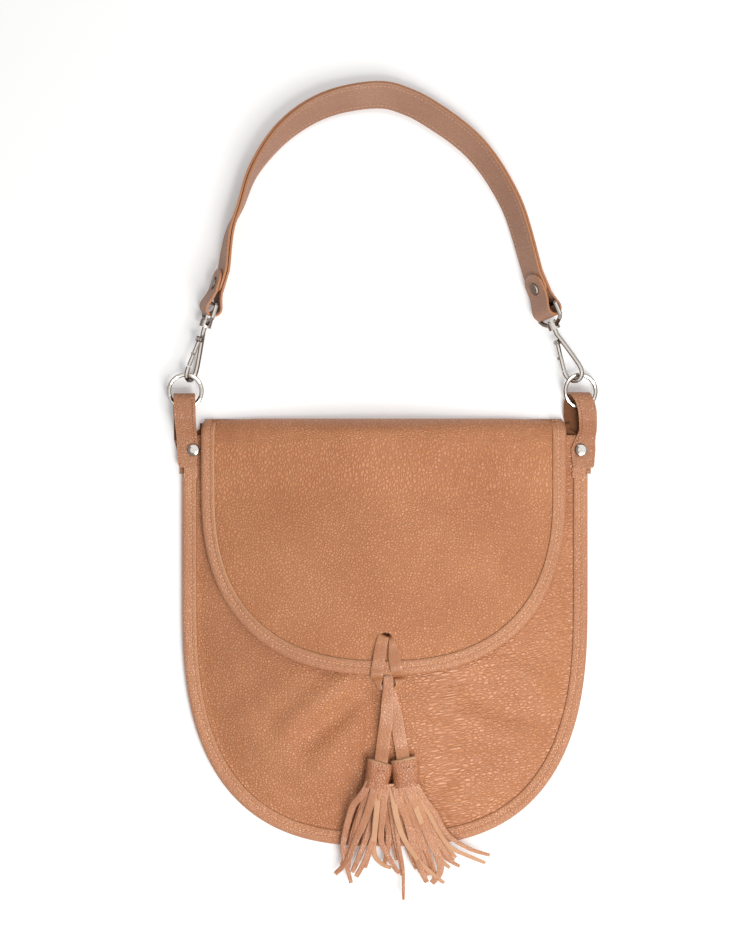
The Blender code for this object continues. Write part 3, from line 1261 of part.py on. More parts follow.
print("left swivel", [round(v, 5) for v in left_clip[0]], "up", [round(v, 5) for v in left_clip[1]])
print("right swivel", [round(v, 5) for v in right_clip[0]], "up", [round(v, 5) for v in right_clip[1]])
for hinge_name in ("flap_hinge", "lace_hinge", "left_tassel_pivot", "right_tassel_pivot", "handle_hinge"):
    print(hinge_name, [round(v, 5) for v in bpy.data.objects[hinge_name].location])
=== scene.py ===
# Leather shoulder bag lying on its back: leather, lace, tassels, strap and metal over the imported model
import math
import random

import bpy
import numpy as np
from mathutils import Matrix, Vector, noise


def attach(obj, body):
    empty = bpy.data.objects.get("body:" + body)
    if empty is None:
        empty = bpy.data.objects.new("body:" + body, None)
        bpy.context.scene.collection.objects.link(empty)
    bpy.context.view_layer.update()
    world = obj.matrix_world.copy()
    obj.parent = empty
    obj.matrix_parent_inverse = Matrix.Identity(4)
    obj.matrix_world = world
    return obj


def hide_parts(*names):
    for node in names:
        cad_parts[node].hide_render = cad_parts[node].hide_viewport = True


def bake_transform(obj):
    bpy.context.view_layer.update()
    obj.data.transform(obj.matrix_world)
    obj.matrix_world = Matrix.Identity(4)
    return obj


mm = 0.001
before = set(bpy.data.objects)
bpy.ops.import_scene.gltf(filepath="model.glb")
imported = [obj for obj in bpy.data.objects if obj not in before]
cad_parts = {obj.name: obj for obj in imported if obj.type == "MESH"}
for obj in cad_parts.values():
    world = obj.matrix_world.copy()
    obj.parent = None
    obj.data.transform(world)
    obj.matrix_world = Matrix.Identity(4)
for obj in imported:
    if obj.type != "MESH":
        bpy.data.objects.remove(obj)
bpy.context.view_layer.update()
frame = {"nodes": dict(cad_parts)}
print("frame loaded")


# Small tools

def deselectAll():
    bpy.ops.object.select_all(action="DESELECT")


def makeActive(piece):
    deselectAll()
    piece.select_set(True)
    bpy.context.view_layer.objects.active = piece


def applyModifier(piece, kind, **values):
    makeActive(piece)
    step = piece.modifiers.new(kind.lower(), kind)
    for key, value in values.items():
        setattr(step, key, value)
    bpy.ops.object.modifier_apply(modifier=step.name)


def mix(a, b, t):
    return a + (b - a) * t


def smooth(t):
    t = np.clip(t, 0.0, 1.0)
    return t * t * (3 - 2 * t)


def bump(t):
    return np.exp(-t * t)


# A grid bent through rows of points; a closed one is joined round and filled at its two ends
def gridPiece(name, points, closed=False):
    rows = np.array(points, dtype=float)
    if closed:
        rows = np.concatenate([rows, rows[:, :1]], axis=1)
    down, across = rows.shape[0], rows.shape[1]
    deselectAll()
    bpy.ops.mesh.primitive_grid_add(x_subdivisions=across - 1, y_subdivisions=down - 1, size=2)
    made = bpy.context.object
    made.name = name
    made.data.name = name
    flat = np.empty(len(made.data.vertices) * 3)
    made.data.vertices.foreach_get("co", flat)
    flat = flat.reshape(-1, 3)
    i = np.rint((flat[:, 0] + 1) / 2 * (across - 1)).astype(int)
    j = np.rint((flat[:, 1] + 1) / 2 * (down - 1)).astype(int)
    made.data.vertices.foreach_set("co", rows[j, i].ravel())
    bpy.ops.object.mode_set(mode="EDIT")
    bpy.ops.mesh.select_all(action="SELECT")
    bpy.ops.mesh.remove_doubles(threshold=0.001 * mm)
    if closed:
        bpy.ops.mesh.fill_holes(sides=0)
        bpy.ops.mesh.select_all(action="SELECT")
    bpy.ops.mesh.normals_make_consistent(inside=False)
    bpy.ops.object.mode_set(mode="OBJECT")
    bpy.ops.object.shade_smooth()
    return made


# Leather cut from a sheet: thickness goes down from the face that was drawn
def leatherSheet(name, points, thick):
    made = gridPiece(name, points)
    if sum(face.normal.z for face in made.data.polygons) < 0:
        makeActive(made)
        bpy.ops.object.mode_set(mode="EDIT")
        bpy.ops.mesh.select_all(action="SELECT")
        bpy.ops.mesh.flip_normals()
        bpy.ops.object.mode_set(mode="OBJECT")
    applyModifier(made, "SOLIDIFY", thickness=thick, offset=-1.0, use_even_offset=True)
    return made


# Where each point lies in the uncut hide, with the grain pulled long or wide
def setFlow(piece, pull, wrinkles=None):
    flat = np.empty(len(piece.data.vertices) * 3)
    piece.data.vertices.foreach_get("co", flat)
    flat = flat.reshape(-1, 3)
    along, across = pull(flat[:, 0], flat[:, 1], flat[:, 2])
    flow = piece.data.attributes.new("flow", "FLOAT_VECTOR", "POINT")
    flow.data.foreach_set("vector", np.stack([along, across, np.zeros(len(along))], axis=1).ravel())
    if wrinkles:
        amount = piece.data.attributes.new("wrinkle", "FLOAT", "POINT")
        amount.data.foreach_set("value", wrinkles(flat[:, 0], flat[:, 1]))


def sharpen(piece, degrees):
    makeActive(piece)
    bpy.ops.object.shade_smooth_by_angle(angle=math.radians(degrees))


# Gives a piece its materials, its body and the nodes that it stands for
def dress(piece, body, materials, nodes=()):
    piece.data.materials.clear()
    for material in materials:
        piece.data.materials.append(material)
    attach(piece, body)
    if nodes:
        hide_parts(*nodes)


# The second material goes on the faces that the test picks, by centre and normal
def paintFaces(piece, test):
    for face in piece.data.polygons:
        if test(face.center, face.normal):
            face.material_index = 1


# The frame of a strip or sweep that lies nearest to a place
def nearest(frames, place):
    return min(frames, key=lambda frame: (frame[0] - place).length_squared)


# Materials

# Sets a node's inputs by name or number; a socket among the values is linked
def feed(tree, made, values):
    for key, value in values.items():
        if isinstance(value, bpy.types.NodeSocket):
            tree.links.new(value, made.inputs[key])
        else:
            made.inputs[key].default_value = value


def node(tree, kind, values=None, **settings):
    made = tree.nodes.new(kind)
    for key, value in settings.items():
        setattr(made, key, value)
    feed(tree, made, values or {})
    return made


def reckon(tree, operation, *values):
    return node(tree, "ShaderNodeMath", dict(enumerate(values)), operation=operation).outputs[0]


def reckonVector(tree, operation, *values):
    return node(tree, "ShaderNodeVectorMath", dict(enumerate(values)), operation=operation).outputs[0]


def noiseNode(tree, vector, scale, detail, rough=0.5):
    values = {"Vector": vector, "Scale": scale, "Detail": detail, "Roughness": rough}
    return node(tree, "ShaderNodeTexNoise", values).outputs


# One range of values stretched over another
def stretch(tree, value, start, end, low=0.0, high=1.0, curve="LINEAR"):
    values = {"Value": value, "From Min": start, "From Max": end, "To Min": low, "To Max": high}
    return node(tree, "ShaderNodeMapRange", values, interpolation_type=curve).outputs[0]


def colourMix(tree, share, a, b):
    return node(tree, "ShaderNodeMix", {"Factor": share, "A": a, "B": b}, data_type="RGBA").outputs["Result"]


def emptyMaterial(name):
    material = bpy.data.materials.new(name)
    material.use_nodes = True
    return material, material.node_tree, material.node_tree.nodes["Principled BSDF"]


# Widths are shares of a pebble, scales are per metre, drawn pulls the wrinkles out along the hide
grainLook = {"creaseWidth": 0.26, "domeWidth": 0.45, "domeShare": 0.5, "wander": 0.0012,
             "drawn": (0.32, 1.0, 1.0), "swell": 330.0, "fine": 2600.0, "fineShare": 0.14, "patches": 16.0,
             "wornFrom": 0.53, "wornTo": 0.62, "worn": 0.5, "creaseRough": 0.18}


# Pebbled leather grain: height for a bump, creases between the pebbles, and slow patches of tone
def makeGrainGroup():
    tree = bpy.data.node_groups.new("pebbledGrain", "ShaderNodeTree")
    tree.interface.new_socket(name="Vector", in_out="INPUT", socket_type="NodeSocketVector")
    for name, value in (("Pebbles", 620.0), ("Wander", 0.0005), ("Wrinkles", 0.35)):
        socket = tree.interface.new_socket(name=name, in_out="INPUT", socket_type="NodeSocketFloat")
        socket.default_value = value
    for name in ("Height", "Crease", "Tone"):
        tree.interface.new_socket(name=name, in_out="OUTPUT", socket_type="NodeSocketFloat")
    start = node(tree, "NodeGroupInput").outputs
    wobble = noiseNode(tree, start["Vector"], reckon(tree, "MULTIPLY", start["Pebbles"], 0.5), 2.0)["Color"]
    centred = reckonVector(tree, "SUBTRACT", wobble, (0.5, 0.5, 0.5))
    pushed = node(tree, "ShaderNodeVectorMath", {0: centred, "Scale": start["Wander"]}, operation="SCALE")
    moved = reckonVector(tree, "ADD", start["Vector"], pushed.outputs[0])
    cells = node(tree, "ShaderNodeTexVoronoi", {"Vector": moved, "Scale": start["Pebbles"]},
                 feature="DISTANCE_TO_EDGE").outputs["Distance"]
    crease = stretch(tree, cells, 0.0, grainLook["creaseWidth"], curve="SMOOTHSTEP")
    dome = stretch(tree, cells, 0.0, grainLook["domeWidth"])
    drawn = reckonVector(tree, "MULTIPLY", moved, grainLook["drawn"])
    swell = noiseNode(tree, drawn, grainLook["swell"], 2.0, 0.55)["Fac"]
    wrinkled = reckon(tree, "MULTIPLY", swell, start["Wrinkles"])
    pebbled = reckon(tree, "MULTIPLY_ADD", reckon(tree, "ADD", crease, dome), grainLook["domeShare"], wrinkled)
    fine = noiseNode(tree, start["Vector"], grainLook["fine"], 3.0)["Fac"]
    node(tree, "NodeGroupOutput", {
        "Height": reckon(tree, "MULTIPLY_ADD", fine, grainLook["fineShare"], pebbled), "Crease": crease,
        "Tone": noiseNode(tree, start["Vector"], grainLook["patches"], 3.0)["Fac"]})
    return tree


grainGroup = makeGrainGroup()


# sRGB as read off a finish, 0 to 255, to the linear values that sockets take
def tint(red, green, blue):
    values = []
    for part in (red, green, blue):
        part = part / 255
        values.append(part / 12.92 if part <= 0.04045 else ((part + 0.055) / 1.055) ** 2.4)
    return (*values, 1.0)


# flow names the attribute that says how the grain is stretched; worn colours the sharp edges
def makeLeather(name, settings):
    material, tree, shader = emptyMaterial(name)
    if "flow" in settings:
        place = node(tree, "ShaderNodeAttribute", attribute_name=settings["flow"]).outputs["Vector"]
    else:
        place = node(tree, "ShaderNodeTexCoord").outputs["Object"]
    wrinkles = settings.get("wrinkles", 0.6)
    if "wrinkleFlow" in settings:
        wrinkles = node(tree, "ShaderNodeAttribute", attribute_name=settings["wrinkleFlow"]).outputs["Fac"]
    grain = node(tree, "ShaderNodeGroup", {
        "Vector": place, "Pebbles": settings["pebbles"], "Wander": grainLook["wander"], "Wrinkles": wrinkles},
        node_tree=grainGroup).outputs
    patches = colourMix(tree, stretch(tree, grain["Tone"], 0.32, 0.68), tint(*settings["deep"]),
                        tint(*settings["light"]))
    uncreased = stretch(tree, grain["Crease"], 0.0, 1.0, 1 - settings.get("creaseAmount", 0.6))
    creased = colourMix(tree, uncreased, tint(*settings["crease"]), patches)
    sharp = node(tree, "ShaderNodeNewGeometry").outputs["Pointiness"]
    worn = stretch(tree, sharp, grainLook["wornFrom"], grainLook["wornTo"], 0.0, grainLook["worn"])
    raised = node(tree, "ShaderNodeBump", {
        "Strength": settings["strength"], "Distance": settings.get("depth", 0.4) * mm,
        "Height": grain["Height"]})
    feed(tree, shader, {
        "Base Color": colourMix(tree, worn, creased, tint(*settings.get("worn", settings["light"]))),
        "Roughness": stretch(tree, grain["Crease"], 0.0, 1.0, settings["rough"] + grainLook["creaseRough"],
                             settings["rough"]),
        "Specular IOR Level": settings.get("specular", 0.5), "Sheen Weight": settings.get("sheen", 0.0),
        "Normal": raised.outputs[0]})
    return material


# Pebbles are per metre, depth is the bump's in millimetres
tan = {"deep": (184, 118, 74), "light": (202, 137, 92), "crease": (140, 82, 50), "worn": (218, 166, 128)}
panelLeather = makeLeather("panelLeather", {
    **tan, "pebbles": 520, "rough": 0.4, "strength": 1.0, "depth": 0.36, "creaseAmount": 0.5, "flow": "flow"})
frontLeather = makeLeather("frontLeather", {
    **tan, "pebbles": 480, "rough": 0.38, "strength": 1.0, "depth": 0.4, "creaseAmount": 0.5, "specular": 0.6,
    "flow": "flow", "wrinkleFlow": "wrinkle"})
backLeather = makeLeather("backLeather", {
    **tan, "pebbles": 500, "rough": 0.4, "strength": 0.9, "creaseAmount": 0.4})
bindingLeather = makeLeather("bindingLeather", {
    "deep": (184, 122, 82), "light": (198, 137, 97), "crease": (160, 102, 68), "worn": (222, 174, 140),
    "pebbles": 560, "rough": 0.32, "strength": 0.9, "creaseAmount": 0.45, "specular": 0.7})
strapLeather = makeLeather("strapLeather", {
    "deep": (158, 113, 90), "light": (173, 129, 104), "crease": (132, 90, 68), "worn": (212, 164, 130),
    "pebbles": 620, "rough": 0.4, "strength": 0.5, "creaseAmount": 0.4})
# the tabs' tan leather, painted darker than the body's as shade, since the tabs tilt away from the light
tabLeatherPaintedShade = makeLeather("tabLeatherPaintedShade", {
    "deep": (166, 108, 72), "light": (184, 127, 90), "crease": (148, 94, 62), "worn": (220, 172, 138),
    "pebbles": 520, "rough": 0.3, "strength": 0.9, "wrinkles": 1.8, "creaseAmount": 0.3, "specular": 0.6})
laceLeather = makeLeather("laceLeather", {
    "deep": (166, 107, 70), "light": (188, 128, 88), "crease": (150, 96, 62), "worn": (222, 176, 138),
    "pebbles": 480, "rough": 0.34, "strength": 0.35, "creaseAmount": 0.3, "specular": 0.6})
headLeather = makeLeather("headLeather", {
    "deep": (174, 107, 68), "light": (192, 127, 85), "crease": (134, 78, 48), "worn": (226, 176, 138),
    "pebbles": 520, "rough": 0.3, "strength": 0.8, "specular": 0.7})
strandLeather = makeLeather("strandLeather", {
    "deep": (170, 108, 72), "light": (198, 138, 98), "crease": (150, 96, 64), "worn": (226, 182, 148),
    "pebbles": 620, "rough": 0.3, "strength": 0.6, "creaseAmount": 0.35, "specular": 0.7})
# the hide's rough side, painted dark brown as shade: it goes inside the tab loops and on the bag's inward faces
roughSidePaintedShade = makeLeather("roughSidePaintedShade", {
    "deep": (120, 76, 50), "light": (144, 96, 66), "crease": (96, 60, 38),
    "pebbles": 1800, "rough": 0.7, "strength": 0.5, "depth": 0.15, "specular": 0.2})
suede = makeLeather("suede", {
    "deep": (200, 150, 116), "light": (218, 170, 136), "crease": (182, 138, 104),
    "pebbles": 1800, "rough": 0.7, "strength": 0.5, "depth": 0.15, "specular": 0.2, "sheen": 0.15})
bindEdge = makeLeather("bindEdge", {
    "deep": (196, 142, 102), "light": (212, 162, 122), "crease": (150, 100, 68),
    "pebbles": 2200, "rough": 0.6, "strength": 0.4, "depth": 0.1})
rawEdge = makeLeather("rawEdge", {
    "deep": (206, 160, 120), "light": (226, 186, 146), "crease": (150, 106, 74),
    "pebbles": 2200, "rough": 0.7, "strength": 0.5, "depth": 0.12, "specular": 0.25})
paintedEdge = makeLeather("paintedEdge", {
    "deep": (182, 120, 78), "light": (198, 136, 92), "crease": (150, 94, 60),
    "pebbles": 1500, "rough": 0.4, "strength": 0.3, "depth": 0.1})
threadFinish = makeLeather("thread", {
    "deep": (206, 152, 112), "light": (226, 176, 138), "crease": (190, 136, 100),
    "pebbles": 3000, "rough": 0.55, "strength": 0.5, "depth": 0.1})
tabThread = makeLeather("tabThread", {
    "deep": (110, 62, 38), "light": (132, 80, 52), "crease": (84, 48, 30),
    "pebbles": 3000, "rough": 0.55, "strength": 0.5, "depth": 0.1})


# Polished metal with light scuffs and painted reflections: painted darker where it turns away from the view, and a
# painted darker band on one flank
def makeNickel(name, settings):
    material, tree, shader = emptyMaterial(name)
    place = node(tree, "ShaderNodeTexCoord").outputs
    scuffs = noiseNode(tree, place["Object"], 420.0, 4.0)["Fac"]
    warm = colourMix(tree, scuffs, tint(206, 199, 190), tint(232, 227, 220))
    # painted reflection: the metal is darkened where it turns away from the view, as if dark surroundings showed in
    # its rims
    facing = node(tree, "ShaderNodeLayerWeight", {"Blend": 0.5}).outputs["Facing"]
    paintedRimShade = stretch(tree, facing, 0.04, 0.4, curve="SMOOTHSTEP")
    # painted reflection: faces turned one fixed way get a darker band, as if dark surroundings were mirrored on
    # that flank
    paintedReflectionWay = node(tree, "ShaderNodeVectorMath", {0: place["Normal"], 1: settings["paintedReflectionWay"]},
                 operation="DOT_PRODUCT").outputs["Value"]
    paintedDarkBand = stretch(tree, paintedReflectionWay, settings["from"], settings["to"], 0.0, settings["paintedDarkness"], "SMOOTHSTEP")
    withPaintedRimShade = colourMix(tree, paintedRimShade, warm, tint(84, 70, 60))
    feed(tree, shader, {
        "Metallic": 1.0, "Roughness": stretch(tree, scuffs, 0.0, 1.0, 0.08, 0.24),
        "Base Color": colourMix(tree, paintedDarkBand, withPaintedRimShade, tint(112, 92, 80))})
    return material


# the way, range and strength of each metal's painted dark reflection band
nickel = makeNickel("polishedNickel", {"paintedReflectionWay": (-0.75, 0.35, 0.2), "from": 0.3, "to": 0.62, "paintedDarkness": 0.75})
capNickel = makeNickel("capNickel", {"paintedReflectionWay": (-0.8, -0.45, 0.2), "from": 0.19, "to": 0.25, "paintedDarkness": 0.85})
print("materials made")


# Body shape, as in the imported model

bodyShape = {"halfWidth": 143 * mm, "arcTop": 23.5 * mm, "arcDepth": 174.3 * mm, "arcPower": 2.7}
panelInset = 1.5 * mm
belly = {"low": -20 * mm, "crown": 22 * mm, "mouthCrown": 12 * mm, "power": 2.2, "mouth": 139 * mm,
         "rim": 4.8 * mm, "flange": 10.6 * mm}
skin = 1.5 * mm
gap = 0.3 * mm
panelHalf = bodyShape["halfWidth"] - panelInset
panelDepth = bodyShape["arcDepth"] - panelInset
bellyReach = bodyShape["arcDepth"] - bodyShape["arcTop"] + belly["low"] - panelInset
flangeShare = 1 - belly["flange"] / bellyReach


# How far a point lies from the belly's spine towards the rim, 0 to 1
def bodyShare(x, y):
    x, y = np.abs(np.asarray(x, float)), np.asarray(y, float)
    power = bodyShape["arcPower"]
    low = np.zeros(np.broadcast(x, y).shape)
    high = low + 400.0
    spine = np.maximum(y, belly["low"])
    for step in range(44):
        middle = (low + high) / 2
        down = np.maximum(bodyShape["arcTop"] - (spine + (y - spine) * middle), 0)
        outside = (x * middle / panelHalf) ** power + (down / panelDepth) ** power > 1
        high = np.where(outside, middle, high)
        low = np.where(outside, low, middle)
    return np.minimum(1.0, 1 / high)


def bellyHeight(x, y):
    crown = mix(belly["crown"], belly["mouthCrown"],
                smooth((y - belly["low"]) / (belly["mouth"] - belly["low"])))
    share = np.minimum(1.0, bodyShare(x, y) / flangeShare)
    return belly["rim"] + crown * (1 - share ** belly["power"])


# Long soft folds of the front: start, end, height and half width, all in millimetres
frontFolds = (
    ((-26, -30), (-68, -64), 2.6, 8), ((-14, -42), (-58, -78), -2.4, 8), ((-58, -30), (-112, -66), 1.0, 12),
    ((-9, -42), (-12, -96), -1.8, 6), ((-26, -62), (-52, -104), 0.9, 9), ((-22, -86), (-36, -120), -0.8, 7),
    ((-64, -96), (-104, -60), 0.8, 10), ((86, -26), (126, -38), 2.0, 10), ((52, -32), (96, -36), -1.1, 7),
    ((62, -44), (128, -70), -1.9, 8), ((20, -48), (92, -74), 1.8, 9), ((96, -60), (124, -90), 1.3, 9),
    ((34, -84), (96, -94), -1.4, 8), ((60, -112), (72, -117), 2.2, 11), ((88, -104), (98, -116), 1.7, 10),
    ((36, -112), (50, -92), -1.0, 6), ((20, -44), (56, -42), 0.5, 5), ((26, -62), (60, -66), -0.5, 4),
    ((-70, -112), (-44, -130), -0.6, 7), ((-104, -30), (-122, 40), 0.7, 10), ((108, 0), (122, 60), 0.6, 9),
)


def segmentDistance(x, y, start, end):
    ax, ay = start[0] * mm, start[1] * mm
    dx, dy = end[0] * mm - ax, end[1] * mm - ay
    t = np.clip(((x - ax) * dx + (y - ay) * dy) / (dx * dx + dy * dy), 0, 1)
    return np.hypot(x - ax - t * dx, y - ay - t * dy), t


# The front's look: sheet rows, folds, ripples, and where the flap and the lace keep it calm
frontLook = {
    "columns": 120, "sideRows": 56, "arcRows": 84, "foldGain": 1.9, "rimFade": 0.22, "calmFrom": -4 * mm,
    "calmRun": 22 * mm, "calmShare": 0.15, "laceX": 4 * mm, "laceReach": 13 * mm, "laceLow": -112 * mm,
    "laceRun": 10 * mm, "ripple": 0.5 * mm, "rippleSize": 30 * mm, "crinkle": 0.22 * mm,
    "crinkleSize": 7 * mm, "mostRipple": 4 * mm, "mostByLace": 0.1 * mm,
}


def frontFoldHeight(x, y):
    total = np.zeros(np.broadcast(x, y).shape)
    for start, end, height, width in frontFolds:
        away, t = segmentDistance(x, y, start, end)
        fade = 0.35 + 0.65 * np.sin(np.pi * (0.15 + 0.7 * t))
        total = total + frontLook["foldGain"] * height * mm * fade * bump(away / (width * mm))
    return total


def slowNoise(x, y, size, seed):
    flatX, flatY = np.broadcast_arrays(x, y)
    values = [noise.noise(Vector((a / size, b / size, seed))) for a, b in zip(flatX.ravel(), flatY.ravel())]
    return np.array(values).reshape(flatX.shape)


def frontHeight(x, y):
    x, y = np.asarray(x, float), np.asarray(y, float)
    look = frontLook
    inside = smooth((1 - bodyShare(x, y) / flangeShare) / look["rimFade"])
    belowFlap = smooth((look["calmFrom"] - y) / look["calmRun"])
    nearLace = bump((x - look["laceX"]) / look["laceReach"]) * smooth((y - look["laceLow"]) / look["laceRun"])
    ripple = frontFoldHeight(x, y) + look["ripple"] * slowNoise(x, y, look["rippleSize"], 3.0)
    crinkle = slowNoise(x * 0.45 - y * 0.1, y + 0.22 * x, look["crinkleSize"], 8.0)
    ripple = ripple + look["crinkle"] * crinkle
    ripple = np.minimum(ripple, mix(look["mostRipple"], look["mostByLace"], nearLace))
    return bellyHeight(x, y) + ripple * inside * mix(look["calmShare"], 1.0, belowFlap)


# Right half of a U outline from the top down, moved in by the inset: x, y, outward x, outward y
def halfOutline(shape, tops, inset, sideSteps, arcSteps):
    rows = [(shape["halfWidth"], mix(tops, shape["arcTop"], k / sideSteps), 1.0, 0.0)
            for k in range(sideSteps)]
    power = shape["arcPower"]
    for k in range(arcSteps + 1):
        turn = math.pi / 2 * k / arcSteps
        c, s = max(math.cos(turn), 0.0), math.sin(turn)
        x = shape["halfWidth"] * c ** (2 / power)
        y = -shape["arcDepth"] * s ** (2 / power)
        nx = (x / shape["halfWidth"]) ** (power - 1) / shape["halfWidth"]
        ny = -abs(y / shape["arcDepth"]) ** (power - 1) / shape["arcDepth"]
        size = math.hypot(nx, ny)
        rows.append((x, shape["arcTop"] + y, nx / size, ny / size))
    return [(max(x - inset * nx, 0.0), y - inset * ny, nx, ny) for x, y, nx, ny in rows]


def wholeOutline(shape, tops, inset, sideSteps, arcSteps, centre=0.0):
    right = halfOutline(shape, tops, inset, sideSteps, arcSteps)
    left = [(-x, y, -nx, ny) for x, y, nx, ny in right]
    return [(centre + x, y, nx, ny) for x, y, nx, ny in left[:-1] + right[::-1]]


# Rows of points across a U outline, from its top to its foot
def outlineRows(half, columns, height):
    rows = []
    for x, y, nx, ny in half:
        across = np.linspace(-x, x, columns)
        down = np.full(columns, y)
        rows.append(np.stack([across, down, height(across, down)], axis=1))
    return rows


frontHalf = halfOutline(bodyShape, belly["mouth"], panelInset, frontLook["sideRows"], frontLook["arcRows"])
frontPanel = leatherSheet("frontPanel", outlineRows(frontHalf, frontLook["columns"], frontHeight), skin)
# the grain is drawn wide on the right, and runs slightly uphill there
frontGrain = {"rightWidth": 0.55, "rightRun": 60 * mm, "height": 1.15, "uphill": 0.16, "wrinkles": 0.7,
              "rightWrinkles": 2.0, "foldWrinkles": 1.4}


def frontFlow(x, y, z):
    wide = mix(1.0, frontGrain["rightWidth"], smooth(x / frontGrain["rightRun"]))
    return x * wide, y * frontGrain["height"] - frontGrain["uphill"] * np.maximum(x, 0)


def frontWrinkles(x, y):
    onRight = smooth((x - 15 * mm) / (35 * mm))
    onFold = bump((x + 0.9 * y + 76 * mm) / (20 * mm))
    return frontGrain["wrinkles"] + frontGrain["rightWrinkles"] * onRight + frontGrain["foldWrinkles"] * onFold


setFlow(frontPanel, frontFlow, frontWrinkles)
dress(frontPanel, "bag", [frontLeather, suede], ["front_panel"])
paintFaces(frontPanel, lambda centre, normal: normal.z < -0.2)

liningLook = {"inset": 22 * mm, "top": 130 * mm, "thick": 0.7 * mm, "drop": 1.9 * mm, "backThick": 0.5 * mm,
              "backRest": 3.85 * mm, "backWave": 0.25 * mm, "columns": 70, "sideRows": 30, "arcRows": 50}
liningHalf = halfOutline(bodyShape, liningLook["top"], liningLook["inset"], liningLook["sideRows"],
                         liningLook["arcRows"])
frontLining = leatherSheet("frontLining", outlineRows(
    liningHalf, liningLook["columns"],
    lambda x, y: frontHeight(x, y) - liningLook["drop"]), liningLook["thick"])
dress(frontLining, "bag", [suede], ["front_lining"])
backLining = leatherSheet("backLining", outlineRows(
    liningHalf, liningLook["columns"],
    lambda x, y: liningLook["backRest"] + liningLook["backWave"] * slowNoise(x, y, 40 * mm, 9.0)),
    liningLook["backThick"])
dress(backLining, "bag", [suede], ["back_lining"])


# The back lies flat on the table, lifts towards its bound rim, and is cut in beside the tabs
backLook = {"top": 147.6 * mm, "thick": 1.2 * mm, "rimLift": 1.8 * mm, "liftFrom": 0.86, "liftRun": 0.06,
            "dimple": 0.25 * mm, "dimpleRun": 0.2, "columns": 100, "sideRows": 60, "arcRows": 70,
            "cutIn": 11 * mm, "cutFrom": 137.5 * mm, "cutRun": 6 * mm}


def backHeight(x, y):
    share = bodyShare(x, np.minimum(y, belly["mouth"]))
    lift = backLook["rimLift"] * smooth((share - backLook["liftFrom"]) / backLook["liftRun"])
    dimple = backLook["dimple"] * (1 + slowNoise(x, y, 45 * mm, 21.0))
    dimple = dimple * smooth((backLook["liftFrom"] - share) / backLook["dimpleRun"])
    return backLook["thick"] + lift + dimple


backHalf = [(x - backLook["cutIn"] * float(smooth((y - backLook["cutFrom"]) / backLook["cutRun"])), y, nx, ny)
            for x, y, nx, ny in halfOutline(bodyShape, backLook["top"], panelInset, backLook["sideRows"],
                                            backLook["arcRows"])]
backPanel = leatherSheet("backPanel", outlineRows(backHalf, backLook["columns"], backHeight), backLook["thick"])
dress(backPanel, "bag", [roughSidePaintedShade, backLeather], ["back_panel"])
# upward faces, inside the bag, get the dark rough side as painted shade; faces down and round the rim get the outer
# leather
paintFaces(backPanel, lambda centre, normal: normal.z < 0.2)
print("body panels made")


# Flap shape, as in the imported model

flapShape = {"halfWidth": 128.6 * mm, "arcTop": 100.5 * mm, "arcDepth": 128.1 * mm, "arcPower": 2.45}
flapFold = {"centre": -0.9 * mm, "top": 150.8 * mm, "reach": 11 * mm, "foot": 1.6 * mm, "run": 20 * mm,
            "rest": 2.0 * mm, "mouthRest": 0.9 * mm, "mouthRun": 20 * mm, "rise": 3.4 * mm,
            "riseReach": 50 * mm, "cornerPull": 1.5 * mm, "cornerFrom": 84 * mm, "cornerRun": 44 * mm,
            "cornerRound": 3.2 * mm}
foldStart = flapFold["top"] - flapFold["reach"]
flapInset = 1.3 * mm


def flapUnder(x, y):
    nearMouth = smooth((y - (foldStart - 2 * flapFold["mouthRun"])) / flapFold["mouthRun"])
    rise = flapFold["rise"] * bump((x - flapFold["centre"]) / flapFold["riseReach"])
    rest = flapFold["rest"] + flapFold["mouthRest"] * nearMouth
    return bellyHeight(x, np.minimum(y, belly["mouth"])) + rest + rise


# Soft waves of the flap, still at its edge and its hole, and fine pulls below the fold
flapLook = {"wave": 0.5 * mm, "waveSize": 44 * mm, "pull": 0.16 * mm, "pullPitch": 2.9 * mm,
            "pullWander": 17 * mm, "pullFrom": 108 * mm, "pullRun": 22 * mm, "edgeRun": 30 * mm,
            "holeReach": 22 * mm, "foldRows": 18, "columns": 120, "rows": (34, 80),
            "liningInset": 10.2 * mm, "liningThick": 0.7 * mm, "liningColumns": 90, "liningRows": (26, 60)}


def flapWaves(x, y):
    fromEdge = smooth((flapShape["halfWidth"] - np.abs(x - flapFold["centre"])) / flapLook["edgeRun"])
    low = smooth((y + 20 * mm) / (30 * mm))
    calm = 1 - bump(np.hypot(x, y) / flapLook["holeReach"])
    phase = x / flapLook["pullPitch"] + 1.5 * np.sin(x / flapLook["pullWander"])
    pulls = flapLook["pull"] * np.sin(phase) * smooth((y - flapLook["pullFrom"]) / flapLook["pullRun"])
    return (flapLook["wave"] * slowNoise(x, y, flapLook["waveSize"], 5.0) + pulls) * fromEdge * low * calm


def flapPoints(x, y, depth):
    x, y = np.asarray(x, float), np.asarray(y, float)
    base = np.minimum(y, foldStart)
    top = flapUnder(x, base) + skin - depth + flapWaves(x, base)
    turn = np.clip((y - foldStart) / flapFold["run"], 0, 1) * math.pi / 2
    outwards = smooth((np.abs(x - flapFold["centre"]) - flapFold["cornerFrom"]) / flapFold["cornerRun"])
    reach = flapFold["reach"] - depth - flapFold["cornerPull"] * outwards
    step = 0.5 * mm
    slope = (flapUnder(x, foldStart) - flapUnder(x, foldStart - step)) / step
    ahead = np.where(y <= foldStart, y, foldStart + reach * np.sin(turn))
    height = np.where(y <= foldStart, top, flapFold["foot"] + (top - flapFold["foot"]) * np.cos(turn)
                      + slope * reach * np.sin(turn) * np.cos(turn))
    return np.stack([x, ahead, height], axis=-1)


# The fold's corners are rounded in
def foldCorner(share):
    return flapFold["cornerRound"] * (1 - math.sqrt(1 - share * share))


